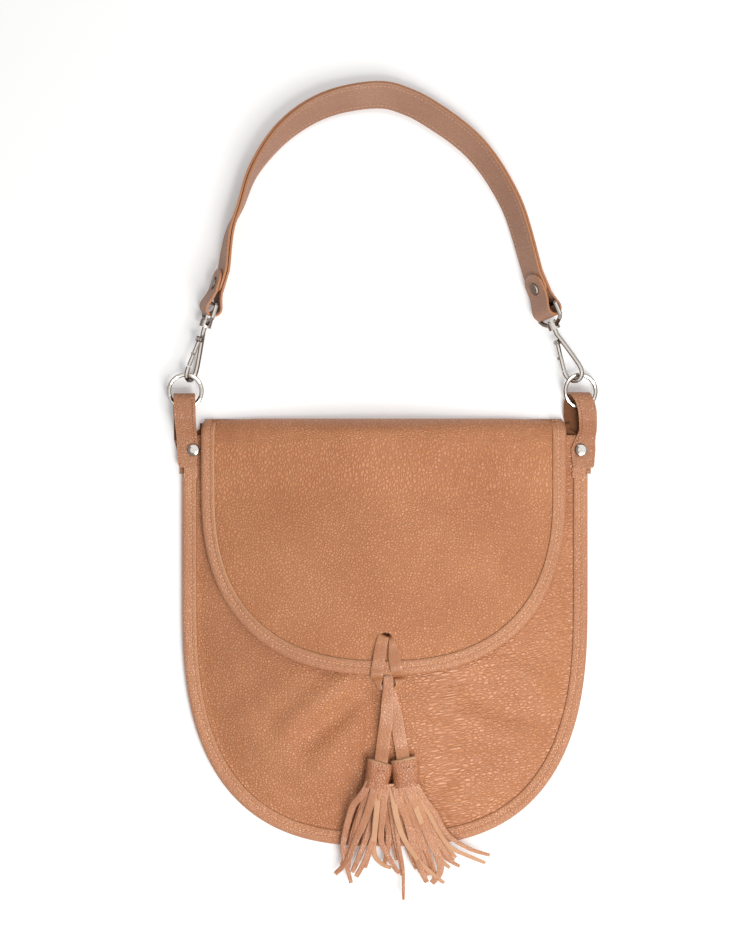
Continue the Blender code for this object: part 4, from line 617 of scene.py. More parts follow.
# Outline points that run on over the fold, from its far end back to where it starts
def foldOutline(x, steps, sign):
    shares = [(steps - k) / steps for k in range(steps)]
    return [(x - sign * foldCorner(share), foldStart + flapFold["run"] * share, sign, 0) for share in shares]


def flapRows(inset, columns, depth, sideRows, arcRows):
    half = halfOutline(flapShape, foldStart, inset, sideRows, arcRows)
    rows = []
    for x, y, nx, ny in foldOutline(half[0][0], flapLook["foldRows"], 1) + half:
        across = flapFold["centre"] + np.linspace(-x, x, columns)
        rows.append(flapPoints(across, np.full(columns, y), depth))
    return rows


holeLook = {"x": 0.2 * mm, "y": -2.8 * mm, "radius": 4.75 * mm}


def cutHole(piece):
    deselectAll()
    bpy.ops.mesh.primitive_cylinder_add(vertices=40, radius=holeLook["radius"], depth=60 * mm,
                                        location=(holeLook["x"], holeLook["y"], 30 * mm))
    punch = bpy.context.object
    applyModifier(piece, "BOOLEAN", operation="DIFFERENCE", solver="EXACT", object=punch)
    bpy.data.objects.remove(punch, do_unlink=True)


flapPanel = leatherSheet("flapPanel", flapRows(flapInset, flapLook["columns"], 0, *flapLook["rows"]), skin)
cutHole(flapPanel)
# the grain is pulled long near the fold, and runs on down the back of the roll
flapGrain = {"pull": 0.42, "pullFrom": 96 * mm, "roll": 0.7, "rollTop": 33 * mm, "rollFrom": 132 * mm,
             "rollRun": 14 * mm}


def flapFlow(x, y, z):
    rolled = smooth((y - flapGrain["rollFrom"]) / flapGrain["rollRun"])
    pulled = y - flapGrain["pull"] * np.maximum(y - flapGrain["pullFrom"], 0)
    return x, pulled - flapGrain["roll"] * (z - flapGrain["rollTop"]) * rolled


setFlow(flapPanel, flapFlow)
dress(flapPanel, "flap", [panelLeather, suede], ["flap_panel"])
flapLining = leatherSheet("flapLining", flapRows(
    flapLook["liningInset"], flapLook["liningColumns"], skin + gap, *flapLook["liningRows"]),
    flapLook["liningThick"])
cutHole(flapLining)
dress(flapLining, "flap", [suede], ["flap_lining"])
print("flap made")


# Bindings: a strip folded over an edge, sewn in a shallow groove. Outward and up, in millimetres
bodyBindingShape = (
    (-9.0, 0.2), (-8.45, 0.95), (-8.05, 1.34), (-7.2, 1.46), (-6.2, 1.42), (-5.5, 1.2), (-4.9, 0.98),
    (-4.3, 1.2), (-3.4, 1.5), (-2.2, 1.6), (-0.9, 1.5), (0.1, 1.15), (0.9, 0.5), (1.35, -0.4), (1.5, -1.5),
    (1.4, -2.7), (0.95, -3.6), (0.1, -4.25), (-1.1, -4.48), (-8.4, -4.45), (-8.4, -3.4), (0.1, -3.3),
    (0.1, 0.3), (-8.4, 0.3),
)
flapBindingShape = (
    (-9.1, 0.2), (-8.6, 0.85), (-8.2, 1.24), (-7.4, 1.36), (-6.3, 1.32), (-5.5, 1.1), (-4.9, 0.86),
    (-4.3, 1.08), (-3.3, 1.42), (-2.1, 1.56), (-0.9, 1.46), (0.1, 1.1), (0.85, 0.4), (1.25, -0.5),
    (1.25, -1.3), (0.8, -2.1), (-0.1, -2.6), (-1.2, -2.78), (-8.6, -2.72), (-8.6, -1.9), (0.1, -1.9),
    (0.1, 0.3), (-8.5, 0.3),
)


def sweepFrames(frames, shape):
    return [[point + out * (u * mm) + up * (v * mm) for u, v in shape] for point, out, up in frames]


def bodyFrames(top, sideSteps, arcSteps):
    return [(Vector((x, y, belly["rim"])), Vector((nx, ny, 0)), Vector((0, 0, 1)))
            for x, y, nx, ny in wholeOutline(bodyShape, top, panelInset, sideSteps, arcSteps)]


def flapFrames(sideSteps, arcSteps, foldSteps):
    outline = wholeOutline(flapShape, foldStart, flapInset, sideSteps, arcSteps, flapFold["centre"])
    outline = (foldOutline(outline[0][0], foldSteps, -1) + outline
               + foldOutline(outline[-1][0], foldSteps, 1)[::-1])
    points = [Vector(flapPoints(x, y, 0)) for x, y, nx, ny in outline]
    # points further in on the panel give the way out across its edge
    inner = [Vector(flapPoints(x - nx * 4.3 * mm, y - ny * 4.3 * mm, 0)) for x, y, nx, ny in outline]
    frames = []
    for i, point in enumerate(points):
        along = (points[min(i + 1, len(points) - 1)] - points[max(i - 1, 0)]).normalized()
        out = point - inner[i]
        out = (out - along * out.dot(along)).normalized()
        up = along.cross(out)
        if up.dot(Vector((0, 1, 1))) < 0:
            up.negate()
        # the strip is pressed flatter where it runs over the fold
        pressed = bindLook["pressed"] * float(smooth((point.y - foldStart) / bindLook["pressRun"]))
        frames.append((point - up.normalized() * pressed, out, up.normalized()))
    return frames


# Stitches: one small rounded bar, copied along a path at an even pitch
def stitchShape(length, radius):
    deselectAll()
    bpy.ops.mesh.primitive_uv_sphere_add(segments=6, ring_count=4, radius=1)
    bar = bpy.context.object
    corners = np.array([tuple(v.co) for v in bar.data.vertices])
    faces = [tuple(face.vertices) for face in bar.data.polygons]
    bpy.data.objects.remove(bar, do_unlink=True)
    stretched = corners * np.array([radius, radius * 0.8, length / 2])
    return stretched[:, [2, 0, 1]], faces


def stitchRow(name, body, slotName, path, ups, pitch=3.1 * mm, length=2.5 * mm, radius=0.42 * mm,
              finish=threadFinish):
    corners, faces = stitchShape(length, radius)
    random.seed(len(path))
    points, allFaces = [], []
    travelled, wanted = 0.0, pitch / 2
    for a, b, upA, upB in zip(path, path[1:], ups, ups[1:]):
        span = (b - a).length
        while span > 0 and travelled + span >= wanted:
            t = (wanted - travelled) / span
            along = (b - a).normalized()
            up = upA.lerp(upB, t)
            up = (up - along * up.dot(along)).normalized()
            turn = Matrix.Rotation(math.radians(random.uniform(-4, 9)), 3, up)
            along = turn @ along
            side = up.cross(along)
            centre = a.lerp(b, t)
            start = len(points)
            for corner in corners:
                points.append(centre + along * corner[0] + side * corner[1] + up * corner[2])
            allFaces += [tuple(index + start for index in face) for face in faces]
            wanted += pitch
        travelled += span
    mesh = bpy.data.meshes.new(name)
    mesh.from_pydata(points, [], allFaces)
    mesh.shade_smooth()
    made = bpy.data.objects.new(name, mesh)
    bpy.context.scene.collection.objects.link(made)
    dress(made, body, [finish])


def seamOver(name, body, slotName, frames, across, up, **settings):
    path = [point + out * across + lift * up for point, out, lift in frames]
    stitchRow(name, body, slotName, path, [lift for point, out, lift in frames], **settings)


# A bound edge: the swept strip, its raw inner edge that looks back at the panel, and its seam
bindLook = {"top": 111.5 * mm, "cut": 8 * mm, "seamIn": -4.9 * mm, "seamRadius": 0.5 * mm,
            "pressed": 0.7 * mm, "pressRun": 8 * mm, "bodySteps": (34, 96), "flapSteps": (26, 96, 12)}


def boundEdge(name, body, frames, shape, nodeName, seamName, seamUp):
    made = gridPiece(name, sweepFrames(frames, shape), True)
    dress(made, body, [bindingLeather, bindEdge], [nodeName])

    def isCut(centre, normal):
        point, out, up = nearest(frames, centre)
        return normal.dot(out) < -0.45 and (centre - point).dot(out) < -bindLook["cut"]
    paintFaces(made, isCut)
    seamOver(seamName, body, "pale_leather", frames, bindLook["seamIn"], seamUp, radius=bindLook["seamRadius"])


boundEdge("edgeBinding", "bag", bodyFrames(bindLook["top"], *bindLook["bodySteps"]), bodyBindingShape,
          "edge_binding", "edgeSeam", 1.12 * mm)
boundEdge("flapBinding", "flap", flapFrames(*bindLook["flapSteps"]), flapBindingShape,
          "flap_binding", "flapSeam", 1.0 * mm)

mouthLook = {"half": 121 * mm, "steps": 60, "seamIn": -5.5 * mm, "seamUp": 1.25 * mm}
mouthShape = ((-8, 0.3), (-7.9, 1.1), (-7, 1.3), (0.2, 1.3), (1.0, 0.9), (1.3, 0.1), (1.3, -1.6), (0.9, -2.5),
              (0.1, -2.8), (-8, -2.8), (-8, -1.8), (0.3, -1.8), (0.3, 0.3))
mouthFrames = []
for k in range(mouthLook["steps"] + 1):
    x = mouthLook["half"] * (2 * k / mouthLook["steps"] - 1)
    # the front's slope under the binding
    rise = float(frontHeight(x, belly["mouth"] - 3.5 * mm) - frontHeight(x, belly["mouth"] - 4.5 * mm))
    tilt = math.atan2(rise, 1 * mm)
    place = Vector((x, belly["mouth"], float(frontHeight(x, belly["mouth"]))))
    out, up = Vector((0, math.cos(tilt), math.sin(tilt))), Vector((0, -math.sin(tilt), math.cos(tilt)))
    mouthFrames.append((place, out, up))
mouthBinding = gridPiece("mouthBinding", sweepFrames(mouthFrames, mouthShape), True)
dress(mouthBinding, "bag", [bindingLeather], ["mouth_binding"])
seamOver("mouthSeam", "bag", "pale_leather", mouthFrames, mouthLook["seamIn"], mouthLook["seamUp"])
print("bindings and seams made")


# Leather strips with rounded edges, along frames of (centre, across, normal, half width)
def stripRows(frames, thick):
    rows = []
    edge = thick / 2
    rounding = edge * 0.35
    for centre, across, normal, half in frames:
        half = half - rounding
        ring = []
        for way in (1, -1):
            for u in (-0.9, -0.5, 0.0, 0.5, 0.9):
                ring.append(centre + across * (half * u * way) + normal * (edge * way))
            for turn in (55, 20, -20, -55):
                c, s = math.cos(math.radians(turn)), math.sin(math.radians(turn))
                ring.append(centre + across * ((half + rounding * c) * way) + normal * (edge * s * way))
        rows.append(ring)
    return rows


def strip(name, frames, thick):
    made = gridPiece(name, stripRows(frames, thick), True)
    sharpen(made, 60)
    return made


def smoothRow(points, steps):
    points = [Vector(p) for p in points]
    row = []
    last = len(points) - 1
    for i in range(last):
        before, start, end, after = points[max(i - 1, 0)], points[i], points[i + 1], points[min(i + 2, last)]
        for k in range(steps):
            t = k / steps
            row.append(0.5 * (2 * start + (end - before) * t
                              + (2 * before - 5 * start + 4 * end - after) * t * t
                              + (3 * start - before - 3 * end + after) * t ** 3))
    row.append(points[-1])
    return row


# Values of a plan, spread along the smooth row that was drawn through its points
def alongRow(row, values):
    return list(np.interp(np.linspace(0, 1, len(row)), np.linspace(0, 1, len(values)), values))


# Frames along a path, with the broad side up apart from the twists
def stripFrames(points, halves, twists=None):
    frames = []
    last = len(points) - 1
    for i, point in enumerate(points):
        along = (points[min(i + 1, last)] - points[max(i - 1, 0)]).normalized()
        across = along.cross(Vector((0, 0, 1)))
        across = across.normalized() if across.length > 0.05 else Vector((1, 0, 0))
        normal = across.cross(along).normalized()
        half = halves[i] if isinstance(halves, list) else halves
        if twists:
            turn = Matrix.Rotation(twists[i], 3, along)
            across, normal = turn @ across, turn @ normal
        frames.append((point, across, normal, half))
    return frames


# Hide between the back panel's top and the flap's foot
webLook = {"left": -127 * mm, "right": 125 * mm, "steps": 40, "y": 148.3 * mm, "z": 2.0 * mm,
           "half": 2.1 * mm, "thick": 0.8 * mm, "bends": 147.6 * mm, "follows": 149.8 * mm}
webRow = [(Vector((mix(webLook["left"], webLook["right"], k / webLook["steps"]), webLook["y"], webLook["z"])),
           Vector((0, 1, 0)), Vector((0, 0, 1)), webLook["half"]) for k in range(webLook["steps"] + 1)]
foldWeb = strip("foldWeb", webRow, webLook["thick"])
foldWeb.data.materials.append(backLeather)
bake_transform(foldWeb)


# Hitch: the lace leaves the hole, crosses the bound edge and passes behind its own tails

hitchLook = {"thick": 1.5 * mm, "bightThick": 1.2 * mm, "pinched": 5.4 * mm, "end": -29.4 * mm,
             "overBinding": 1.6 * mm, "bindingReach": 11.6 * mm}
flapEdge = flapShape["arcTop"] - flapShape["arcDepth"]


def flapTop(x, y):
    return float(flapPoints(x, y, 0)[2])


def hitchHeight(x, y):
    over = gap + hitchLook["thick"] / 2
    if y > flapEdge + hitchLook["bindingReach"]:
        return flapTop(x, y) + over
    if y > flapEdge - 1 * mm:
        return flapTop(x, max(y, flapEdge)) + over + hitchLook["overBinding"]
    return float(bellyHeight(x, y)) + over


def hitchLeg(plan):
    points = [Vector((x * mm, y * mm, hitchHeight(x * mm, y * mm) + lift * mm))
              for x, y, lift, half, twist in plan]
    row = smoothRow(points, 5)
    halves = alongRow(row, [half * mm for x, y, lift, half, twist in plan])
    twists = alongRow(row, [math.radians(twist) for x, y, lift, half, twist in plan])
    return stripFrames(row, halves, twists)


# plan of each leg: x, y, extra height and half width in millimetres, then the twist in degrees
leftLeg = hitchLeg(((-0.8, -0.2, -4.4, 3.6, 0), (-1.3, -1.5, -0.6, 3.9, 0), (-2.8, -8.0, 0.1, 4.2, 4),
                    (-4.2, -16.5, 0.1, 4.3, -3), (-5.2, -23.0, 0.2, 4.4, 2), (-5.6, -27.6, 0.2, 4.3, 4),
                    (-4.9, -31.4, 2.6, 3.1, 12), (-4.4, -35.0, 1.6, 1.7, 24), (-4.0, -38.0, 0.4, 0.4, 30)))
rightLeg = hitchLeg(((3.4, -0.8, -4.2, 1.6, 0), (4.6, -3.6, -0.5, 2.2, 0), (5.6, -10.0, 0.0, 3.6, -4),
                     (6.5, -16.5, 0.0, 4.1, 2), (8.2, -24.0, 0.2, 4.2, 4), (9.3, -28.6, 0.4, 4.0, -4),
                     (9.9, -31.6, 2.6, 3.5, -22), (9.3, -34.8, 1.8, 2.7, -46), (6.6, -37.9, 0.8, 2.3, -62)))
bight = hitchLeg(((-4.6, -35.0, -0.1, 1.6, 0), (-1.0, -36.8, -0.2, 2.3, 0), (3.0, -37.8, -0.2, 2.4, 0),
                  (8.2, -36.8, 0.0, 2.3, 0)))
for name, frames, thick, nodes in (("hitchLeft", leftLeg, hitchLook["thick"], ["hitch_loop"]),
                                   ("hitchRight", rightLeg, hitchLook["thick"], []),
                                   ("hitchBight", bight, hitchLook["bightThick"], [])):
    dress(strip(name, frames, thick), "flap", [laceLeather, rawEdge], nodes)
# the two legs pass back through the hole and run down behind the flap's edge
laceBehind = flapUnder(holeLook["x"], holeLook["y"]) - flapLook["liningThick"] - 2 * gap
laceBehind = float(laceBehind - hitchLook["thick"] / 2)
for side, x, rise in (("left", 2.1 * mm, 2.9 * mm), ("right", 3.6 * mm, 1.15 * mm)):
    low = float(bellyHeight(x, hitchLook["end"])) + rise
    row = smoothRow([(mix(holeLook["x"], x, 0.4), holeLook["y"] + 1 * mm, laceBehind),
                     (x, mix(holeLook["y"], hitchLook["end"], 0.5), mix(laceBehind, low, 0.75)),
                     (x, hitchLook["end"] + 1.2 * mm, low)], 4)
    hiddenTail = strip(side + "HiddenTail", stripFrames(row, hitchLook["pinched"] / 2), hitchLook["thick"])
    dress(hiddenTail, "flap", [laceLeather])


# Tails of the lace, from the flap's edge into the tassel heads. The left one crosses over the other;
# a tail's plan is x, y and half width in millimetres
tassels = {
    "left": {"knot": (-4.1 * mm, -91.8 * mm), "turn": math.radians(-8), "sign": -1, "half": 8.8 * mm,
             "slant": 0.1, "length": 19 * mm, "over": 1.75 * mm, "tail": (
                 (2.1, -28.6, 3.5), (2.25, -37.5, 3.7), (1.6, -47, 4.2), (1.05, -57, 4.5), (-0.7, -72, 4.7),
                 (-2.45, -86, 4.6), (-3.2, -93, 4.4))},
    "right": {"knot": (13.5 * mm, -89.7 * mm), "turn": math.radians(7), "sign": 1, "half": 9.5 * mm,
              "slant": -0.06, "length": 20 * mm, "over": 0.0, "tail": (
                  (3.6, -28.8, 3.4), (4.4, -40, 3.7), (5.9, -48, 4.1), (7.9, -57, 4.4), (10.0, -71, 4.6),
                  (12.2, -84, 4.6), (13.2, -92, 4.4))},
}
laceLook = {"rest": 1.15 * mm, "crossFrom": -72 * mm, "crossRun": 12 * mm, "headFrom": -76 * mm,
            "headRun": 13 * mm, "inHead": 1.2 * mm, "twist": 5}
headLook = {"halfThick": 4.6 * mm, "wall": 1.5 * mm, "clear": 0.6 * mm, "knotDepth": 3.6 * mm,
            "swing": math.radians(20), "steps": 52, "lapAt": math.radians(116), "lap": 0.9 * mm,
            "wave": 0.25 * mm, "bevel": 1.0 * mm}


# The highest ground that a point passes over as its tassel swings
def swungGround(x, y, pivot, sign):
    best = 0.0
    for k in range(5):
        turn = sign * headLook["swing"] * k / 4
        dx, dy = x - pivot[0], y - pivot[1]
        px = pivot[0] + dx * math.cos(turn) - dy * math.sin(turn)
        py = pivot[1] + dx * math.sin(turn) + dy * math.cos(turn)
        best = max(best, float(bellyHeight(px, py)))
    return max(best, belly["rim"] + 1.5 * mm)


def headLevel(tassel):
    x, y = tassel["knot"]
    edges = [swungGround(x + dx, y, tassel["knot"], tassel["sign"])
             for dx in (-tassel["half"], tassel["half"])]
    return max(edges) + headLook["clear"] + headLook["halfThick"]


for side, tassel in tassels.items():
    level = headLevel(tassel)
    row = smoothRow([(x * mm, y * mm, 0) for x, y, half in tassel["tail"]], 6)
    halves = alongRow(row, [half * mm for x, y, half in tassel["tail"]])
    for point in row:
        ground = float(bellyHeight(point.x, point.y)) + laceLook["rest"]
        ground += tassel["over"] * float(smooth((point.y - laceLook["crossFrom"]) / laceLook["crossRun"]))
        nearHead = float(smooth((laceLook["headFrom"] - point.y) / laceLook["headRun"]))
        point.z = mix(ground, level + laceLook["inHead"], nearHead)
    twists = [math.radians(laceLook["twist"] * math.sin(i * 0.35 + tassel["sign"])) for i in range(len(row))]
    tail = strip(side + "Lace", stripFrames(row, halves, twists), hitchLook["thick"])
    dress(tail, "lace", [laceLeather, rawEdge], [side + "_lace"])
print("lace made")


# Tassel heads: a fringed strip rolled up, its end lapped over and sewn, its raw top edge showing
def rolledHead(side, tassel):
    down = Vector((math.sin(tassel["turn"]), -math.cos(tassel["turn"]), 0))
    across = Vector((math.cos(tassel["turn"]), math.sin(tassel["turn"]), 0))
    up = Vector((0, 0, 1))
    top = Vector((*tassel["knot"], headLevel(tassel)))
    thick, steps = headLook["halfThick"], headLook["steps"]
    rows = []
    for share in (0.0, 0.05, 0.12, 0.25, 0.4, 0.55, 0.7, 0.85, 0.95, 1.0):
        raw = headLook["bevel"] if share == 0 else 0.0
        wide = tassel["half"] * (0.99 - 0.03 * share + 0.02 * math.sin(share * 7))
        d = tassel["length"] * share - headLook["knotDepth"]
        ring = []
        for sweep, inner in ((range(steps + 1), False), (range(steps, -1, -1), True)):
            for k in sweep:
                angle = 2 * math.pi * k / steps + headLook["lapAt"]
                lap = headLook["lap"] * (1 - float(smooth(k / 7)))
                wave = headLook["wave"] * math.sin(3 * angle + 5 * share)
                grow = -headLook["wall"] if inner else lap + wave - raw
                u = math.cos(angle)
                tilt = tassel["slant"] * tassel["half"] * u * (1 - share)
                ring.append(top + down * (d + tilt) + across * ((wide + grow) * u)
                            + up * ((thick + grow) * math.sin(angle)))
        rows.append(ring)
    made = gridPiece(side + "TasselHead", rows, True)
    sharpen(made, 45)
    dress(made, side + "_tassel", [headLeather, rawEdge], [side + "_tassel_head"])
    paintFaces(made, lambda centre, normal: normal.dot(down) < -0.45)
    return top, down, across, up


# Strands of each tassel: points of the way and half width in millimetres, layer, and whether the rough
# side shows
strandPlans = {
    "left": (
        (((-8, -103), (-12, -120), (-18, -138), (-24, -156)), 2.1, 0, False),
        (((3, -104), (5, -125), (6, -145), (8, -160)), 2.0, 0, False),
        (((-9.4, -103), (-14, -116), (-20, -134), (-24.4, -150), (-26, -166)), 2.4, 1, False),
        (((-1, -104), (1.5, -125), (2.5, -146), (0, -162)), 2.4, 1, False),
        (((-8.6, -102.8), (-12.4, -114), (-18, -130), (-23, -146), (-30.5, -163)), 2.3, 2, False),
        (((3.4, -104), (4.6, -120), (7, -140), (11, -160), (12, -170)), 2.2, 2, False),
        (((-10.8, -102.5), (-16.5, -112), (-22.8, -121), (-28.4, -142.5), (-29.4, -153.7), (-27.3, -161.4),
          (-23.8, -175.4)), 2.1, 2, False),
        (((-2.5, -104), (-5, -128), (-10, -150), (-14, -165)), 2.2, 1, False),
        (((-7, -104), (-10, -122), (-14, -142), (-19, -160)), 2.0, 1, True),
        (((-4, -104), (-6.5, -130), (-8, -150), (-6.3, -158), (-1.1, -163), (4.2, -165)), 1.8, 1, True),
        (((-6.6, -103), (-9, -114), (-14, -130), (-20.3, -144.6), (-26.6, -160), (-35, -169)), 2.5, 3, False),
        (((-4.6, -103.4), (-6.8, -118), (-10.2, -135), (-16.8, -153.7), (-23.1, -168)), 2.4, 2, False),
        (((0.5, -104), (-1.5, -125), (-2.8, -144.6), (0.7, -153.7), (7.4, -165.6), (10.5, -168.4)), 2.0, 2, False),
        (((-2.2, -103.7), (-2.4, -114), (-3.8, -125), (-7.7, -142.5), (-13.3, -158), (-20.3, -171)), 2.6, 3, False),
        (((2.2, -104), (4.3, -114), (6.3, -123.6), (9.8, -150), (12.6, -165.6), (13, -187.3)), 1.6, 3, False),
        (((4.4, -104.2), (7.4, -125), (12.6, -142.5), (22.4, -158), (33.6, -169), (41.3, -175.4)), 1.8, 3, True),
    ),
    "right": (
        (((9, -105), (11, -128), (16, -150), (22, -166)), 2.2, 0, False),
        (((9.4, -105.4), (13, -122), (18.5, -144), (25, -168)), 2.5, 1, False),
        (((14.4, -105.2), (18, -120), (24, -140), (32, -160), (35, -172)), 2.5, 2, False),
        (((19, -104.6), (24, -118), (32, -136), (41, -152), (48, -160)), 2.3, 2, False),
        (((12.5, -105), (17, -130), (24, -150), (31, -166)), 2.2, 1, False),
        (((17, -104), (25, -124), (36, -143), (50, -158)), 1.8, 0, True),
        (((16, -105), (24, -128), (31, -146), (37.8, -158), (45.5, -165)), 1.8, 1, True),
        (((18, -104), (27, -126), (34, -144), (41.3, -157), (52.5, -164)), 1.7, 1, False),
        (((7.2, -105.6), (10.5, -118), (15.4, -131), (21, -153.7), (26.6, -169), (29.4, -174.7)), 2.5, 3, False),
        (((11.9, -105.4), (14.6, -118), (18.9, -131), (24.5, -153.7), (31, -170)), 2.6, 2, False),
        (((20.4, -104.2), (24.6, -113), (30.1, -123.6), (37.8, -139), (45.5, -150), (56.7, -155.8), (70.4, -161.4)),
         1.8, 2, True),
        (((16.8, -104.9), (20, -114), (24.5, -123.6), (30.8, -142.5), (37.8, -158), (38.5, -167.7), (32.9, -175.4)),
         3.1, 3, False),
        (((21.6, -104), (26.5, -113), (34.7, -125), (43.8, -141), (58.8, -151), (73.5, -155.8)), 1.8, 3, False),
    ),
}


# layerRise lifts each layer off the one below, tipDrop brings the far ends down past the body's rim
strandLook = {"thick": 1.3 * mm, "widen": 1.18, "taper": 0.45, "lean": 24, "clear": 1.8 * mm,
              "layerRise": 1.7 * mm, "tipDrop": 4.6 * mm, "tipFrom": 90 * mm, "tipRun": 12 * mm}


def makeStrands(side, tassel):
    level = headLevel(tassel)
    random.seed(side)
    first = None
    for number, (plan, half, layer, rough) in enumerate(strandPlans[side]):
        row = smoothRow([(x * mm, y * mm, 0) for x, y in plan], 7)
        last = len(row) - 1
        middle = tassel["knot"][0] + math.sin(tassel["turn"]) * (tassel["length"] - headLook["knotDepth"])
        u = min(0.97, abs(row[0].x - middle) / tassel["half"])
        oval = headLook["halfThick"] * math.sqrt(1 - u * u)
        root = level + oval * min(1.0, (layer - 0.6) / 2.2) - (0.75 if layer == 3 else 0.4) * mm
        for i, point in enumerate(row):
            away = (Vector((point.x, point.y)) - Vector(tassel["knot"])).length
            rest = swungGround(point.x, point.y, tassel["knot"], tassel["sign"]) + strandLook["clear"]
            rest += layer * strandLook["layerRise"] * (1 - 0.35 * i / last)
            rest -= strandLook["tipDrop"] * float(smooth((away - strandLook["tipFrom"]) / strandLook["tipRun"]))
            point.z = mix(root, rest, float(smooth(i / last * 2.2)))
        halves = [strandLook["widen"] * half * mm * (1.0 - strandLook["taper"] * (i / last) ** 1.6)
                  for i in range(last + 1)]
        lean = random.uniform(-strandLook["lean"], strandLook["lean"])
        twists = [math.radians((180 if rough else 0) + lean * i / last
                               + 10 * (i / last) * math.sin(i * 0.55 + number)) for i in range(last + 1)]
        frames = stripFrames(row, halves, twists)
        made = strip("%sStrand%02d" % (side, number), frames, strandLook["thick"])
        dress(made, side + "_tassel", [strandLeather, suede])
        paintFaces(made, lambda centre, normal: normal.dot(nearest(frames, centre)[2]) < 0.35)
        first = first or made
    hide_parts(side + "_fringe")


for side, tassel in tassels.items():
    top, down, across, up = rolledHead(side, tassel)
    makeStrands(side, tassel)
    path = [top + down * (2.4 * mm) + across * (u * tassel["half"])
            + up * (headLook["halfThick"] * math.sqrt(1 - u * u) + 0.1 * mm)
            for u in np.linspace(-0.7, 0.7, 12)]
    stitchRow(side + "HeadStitches", side + "_tassel", "lace_leather", path, [up] * len(path),
              pitch=3.9 * mm, length=1.1 * mm, radius=0.5 * mm, finish=tabThread)
print("tassels made")


# Rings, clips and the strap between them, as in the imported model

metalPlan = {
    "ringRadius": 11.5 * mm, "ringWire": 1.5 * mm, "lineY": 158.4 * mm, "lineZ": 10 * mm,
    "clipWire": 1.7 * mm, "eyeReach": 17.35 * mm, "bendRadius": 6.6 * mm, "bendDepth": 32.4 * mm,
}
ends = {
    "left": {"ringX": -140.3 * mm, "tilt": 0.0, "aim": (-121.1 * mm, 231.4 * mm, 13.8 * mm),
             "lean": math.radians(-20), "sign": 1, "flip": 1},
    "right": {"ringX": 137.4 * mm, "tilt": math.radians(18), "aim": (110.6 * mm, 233.5 * mm, 13.0 * mm),
              "lean": math.radians(31), "sign": -1, "flip": -1},
}
strapLook = {"width": 20 * mm, "thick": 1.8 * mm, "neck": 24.5 * mm, "overlap": 16 * mm,
             "loopRadius": 5.2 * mm, "loopCentre": 27.2 * mm, "halfSpan": 109.2 * mm, "centre": -4.9 * mm,
             "base": 255.9 * mm, "rise": 122.5 * mm, "clear": 0.7 * mm}
# the arch between the ends: shares of the half span and the rise, then the strip's lean in degrees
archShares = (
    (-0.955, 0.206, -12), (-0.885, 0.360, 0), (-0.795, 0.571, 10), (-0.599, 0.794, 30),
    (-0.333, 0.943, 45), (-0.006, 1.0, 54), (0.205, 0.954, 52), (0.389, 0.861, 50),
    (0.554, 0.752, 46), (0.673, 0.643, 42), (0.788, 0.491, 38), (0.891, 0.300, 35),
)


# Across and normal of a strip that runs along a way and leans by an angle from upright
def leaning(along, lean, sign=1):
    level = Vector((along.x, along.y, 0)).normalized()
    outward = Vector((-level.y, level.x, 0)) * sign
    across = Vector((0, 0, 1)) * math.cos(lean) + outward * math.sin(lean)
    across = (across - along * across.dot(along)).normalized()
    normal = along.cross(across)
    if normal.dot(outward) < 0:
        normal.negate()
    return across, normal


# Each end hangs from its ring's far point: where its eye is, and how its strip lies
for end in ends.values():
    centre = Vector((end["ringX"], metalPlan["lineY"] + metalPlan["ringRadius"], metalPlan["lineZ"]))
    aim = Vector(end["aim"])
    flat = Matrix.Rotation(end["tilt"], 3, "Y") @ Vector((1, 0, 0))
    psi = math.atan2((aim - centre).x / flat.x, (aim - centre).y)
    contact = centre + (flat * math.sin(psi) + Vector((0, 1, 0)) * math.cos(psi)) * metalPlan["ringRadius"]
    end["up"] = (aim - contact).normalized()
    hang = metalPlan["bendDepth"] + metalPlan["bendRadius"]
    hang = hang - metalPlan["clipWire"] - metalPlan["ringWire"] - gap
    end["eye"] = contact + end["up"] * (hang + metalPlan["eyeReach"])
    end["across"], end["normal"] = leaning(end["up"], end["lean"], end["sign"])

layer = strapLook["thick"] + gap


# A place on an end of the strap, by the way to its eye and the way out of its face
def atEnd(side, along, out):
    end = ends[side]
    return end["eye"] + end["up"] * (strapLook["neck"] - along) + end["normal"] * (out * end["flip"])


# The middle line between the two strips, from the left end over the arch to the right one
def strapMiddle():
    bundle = strapLook["thick"] + gap / 2
    rows = [(atEnd("left", 0, 0) - ends["left"]["normal"] * (layer / 2), ends["left"]["lean"])]
    for xShare, yShare, degrees in archShares:
        lean = math.radians(degrees)
        height = strapLook["width"] / 2 * math.cos(lean) + bundle * abs(math.sin(lean)) + strapLook["clear"]
        rows.append((Vector((strapLook["centre"] + strapLook["halfSpan"] * xShare,
                             strapLook["base"] + strapLook["rise"] * yShare, height)), lean))
    rows.append((atEnd("right", 0, 0) + ends["right"]["normal"] * (layer / 2), ends["right"]["lean"]))
    places = smoothRow([tuple(place) for place, lean in rows], 6)
    leans = smoothRow([(lean, 0, 0) for place, lean in rows], 6)
    middle = []
    last = len(places) - 1
    for i, place in enumerate(places):
        if i == 0:
            along = ends["left"]["up"]
        elif i == last:
            along = -ends["right"]["up"]
        else:
            along = (places[i + 1] - places[i - 1]).normalized()
        middle.append((place, *leaning(along, leans[i].x)))
    return middle


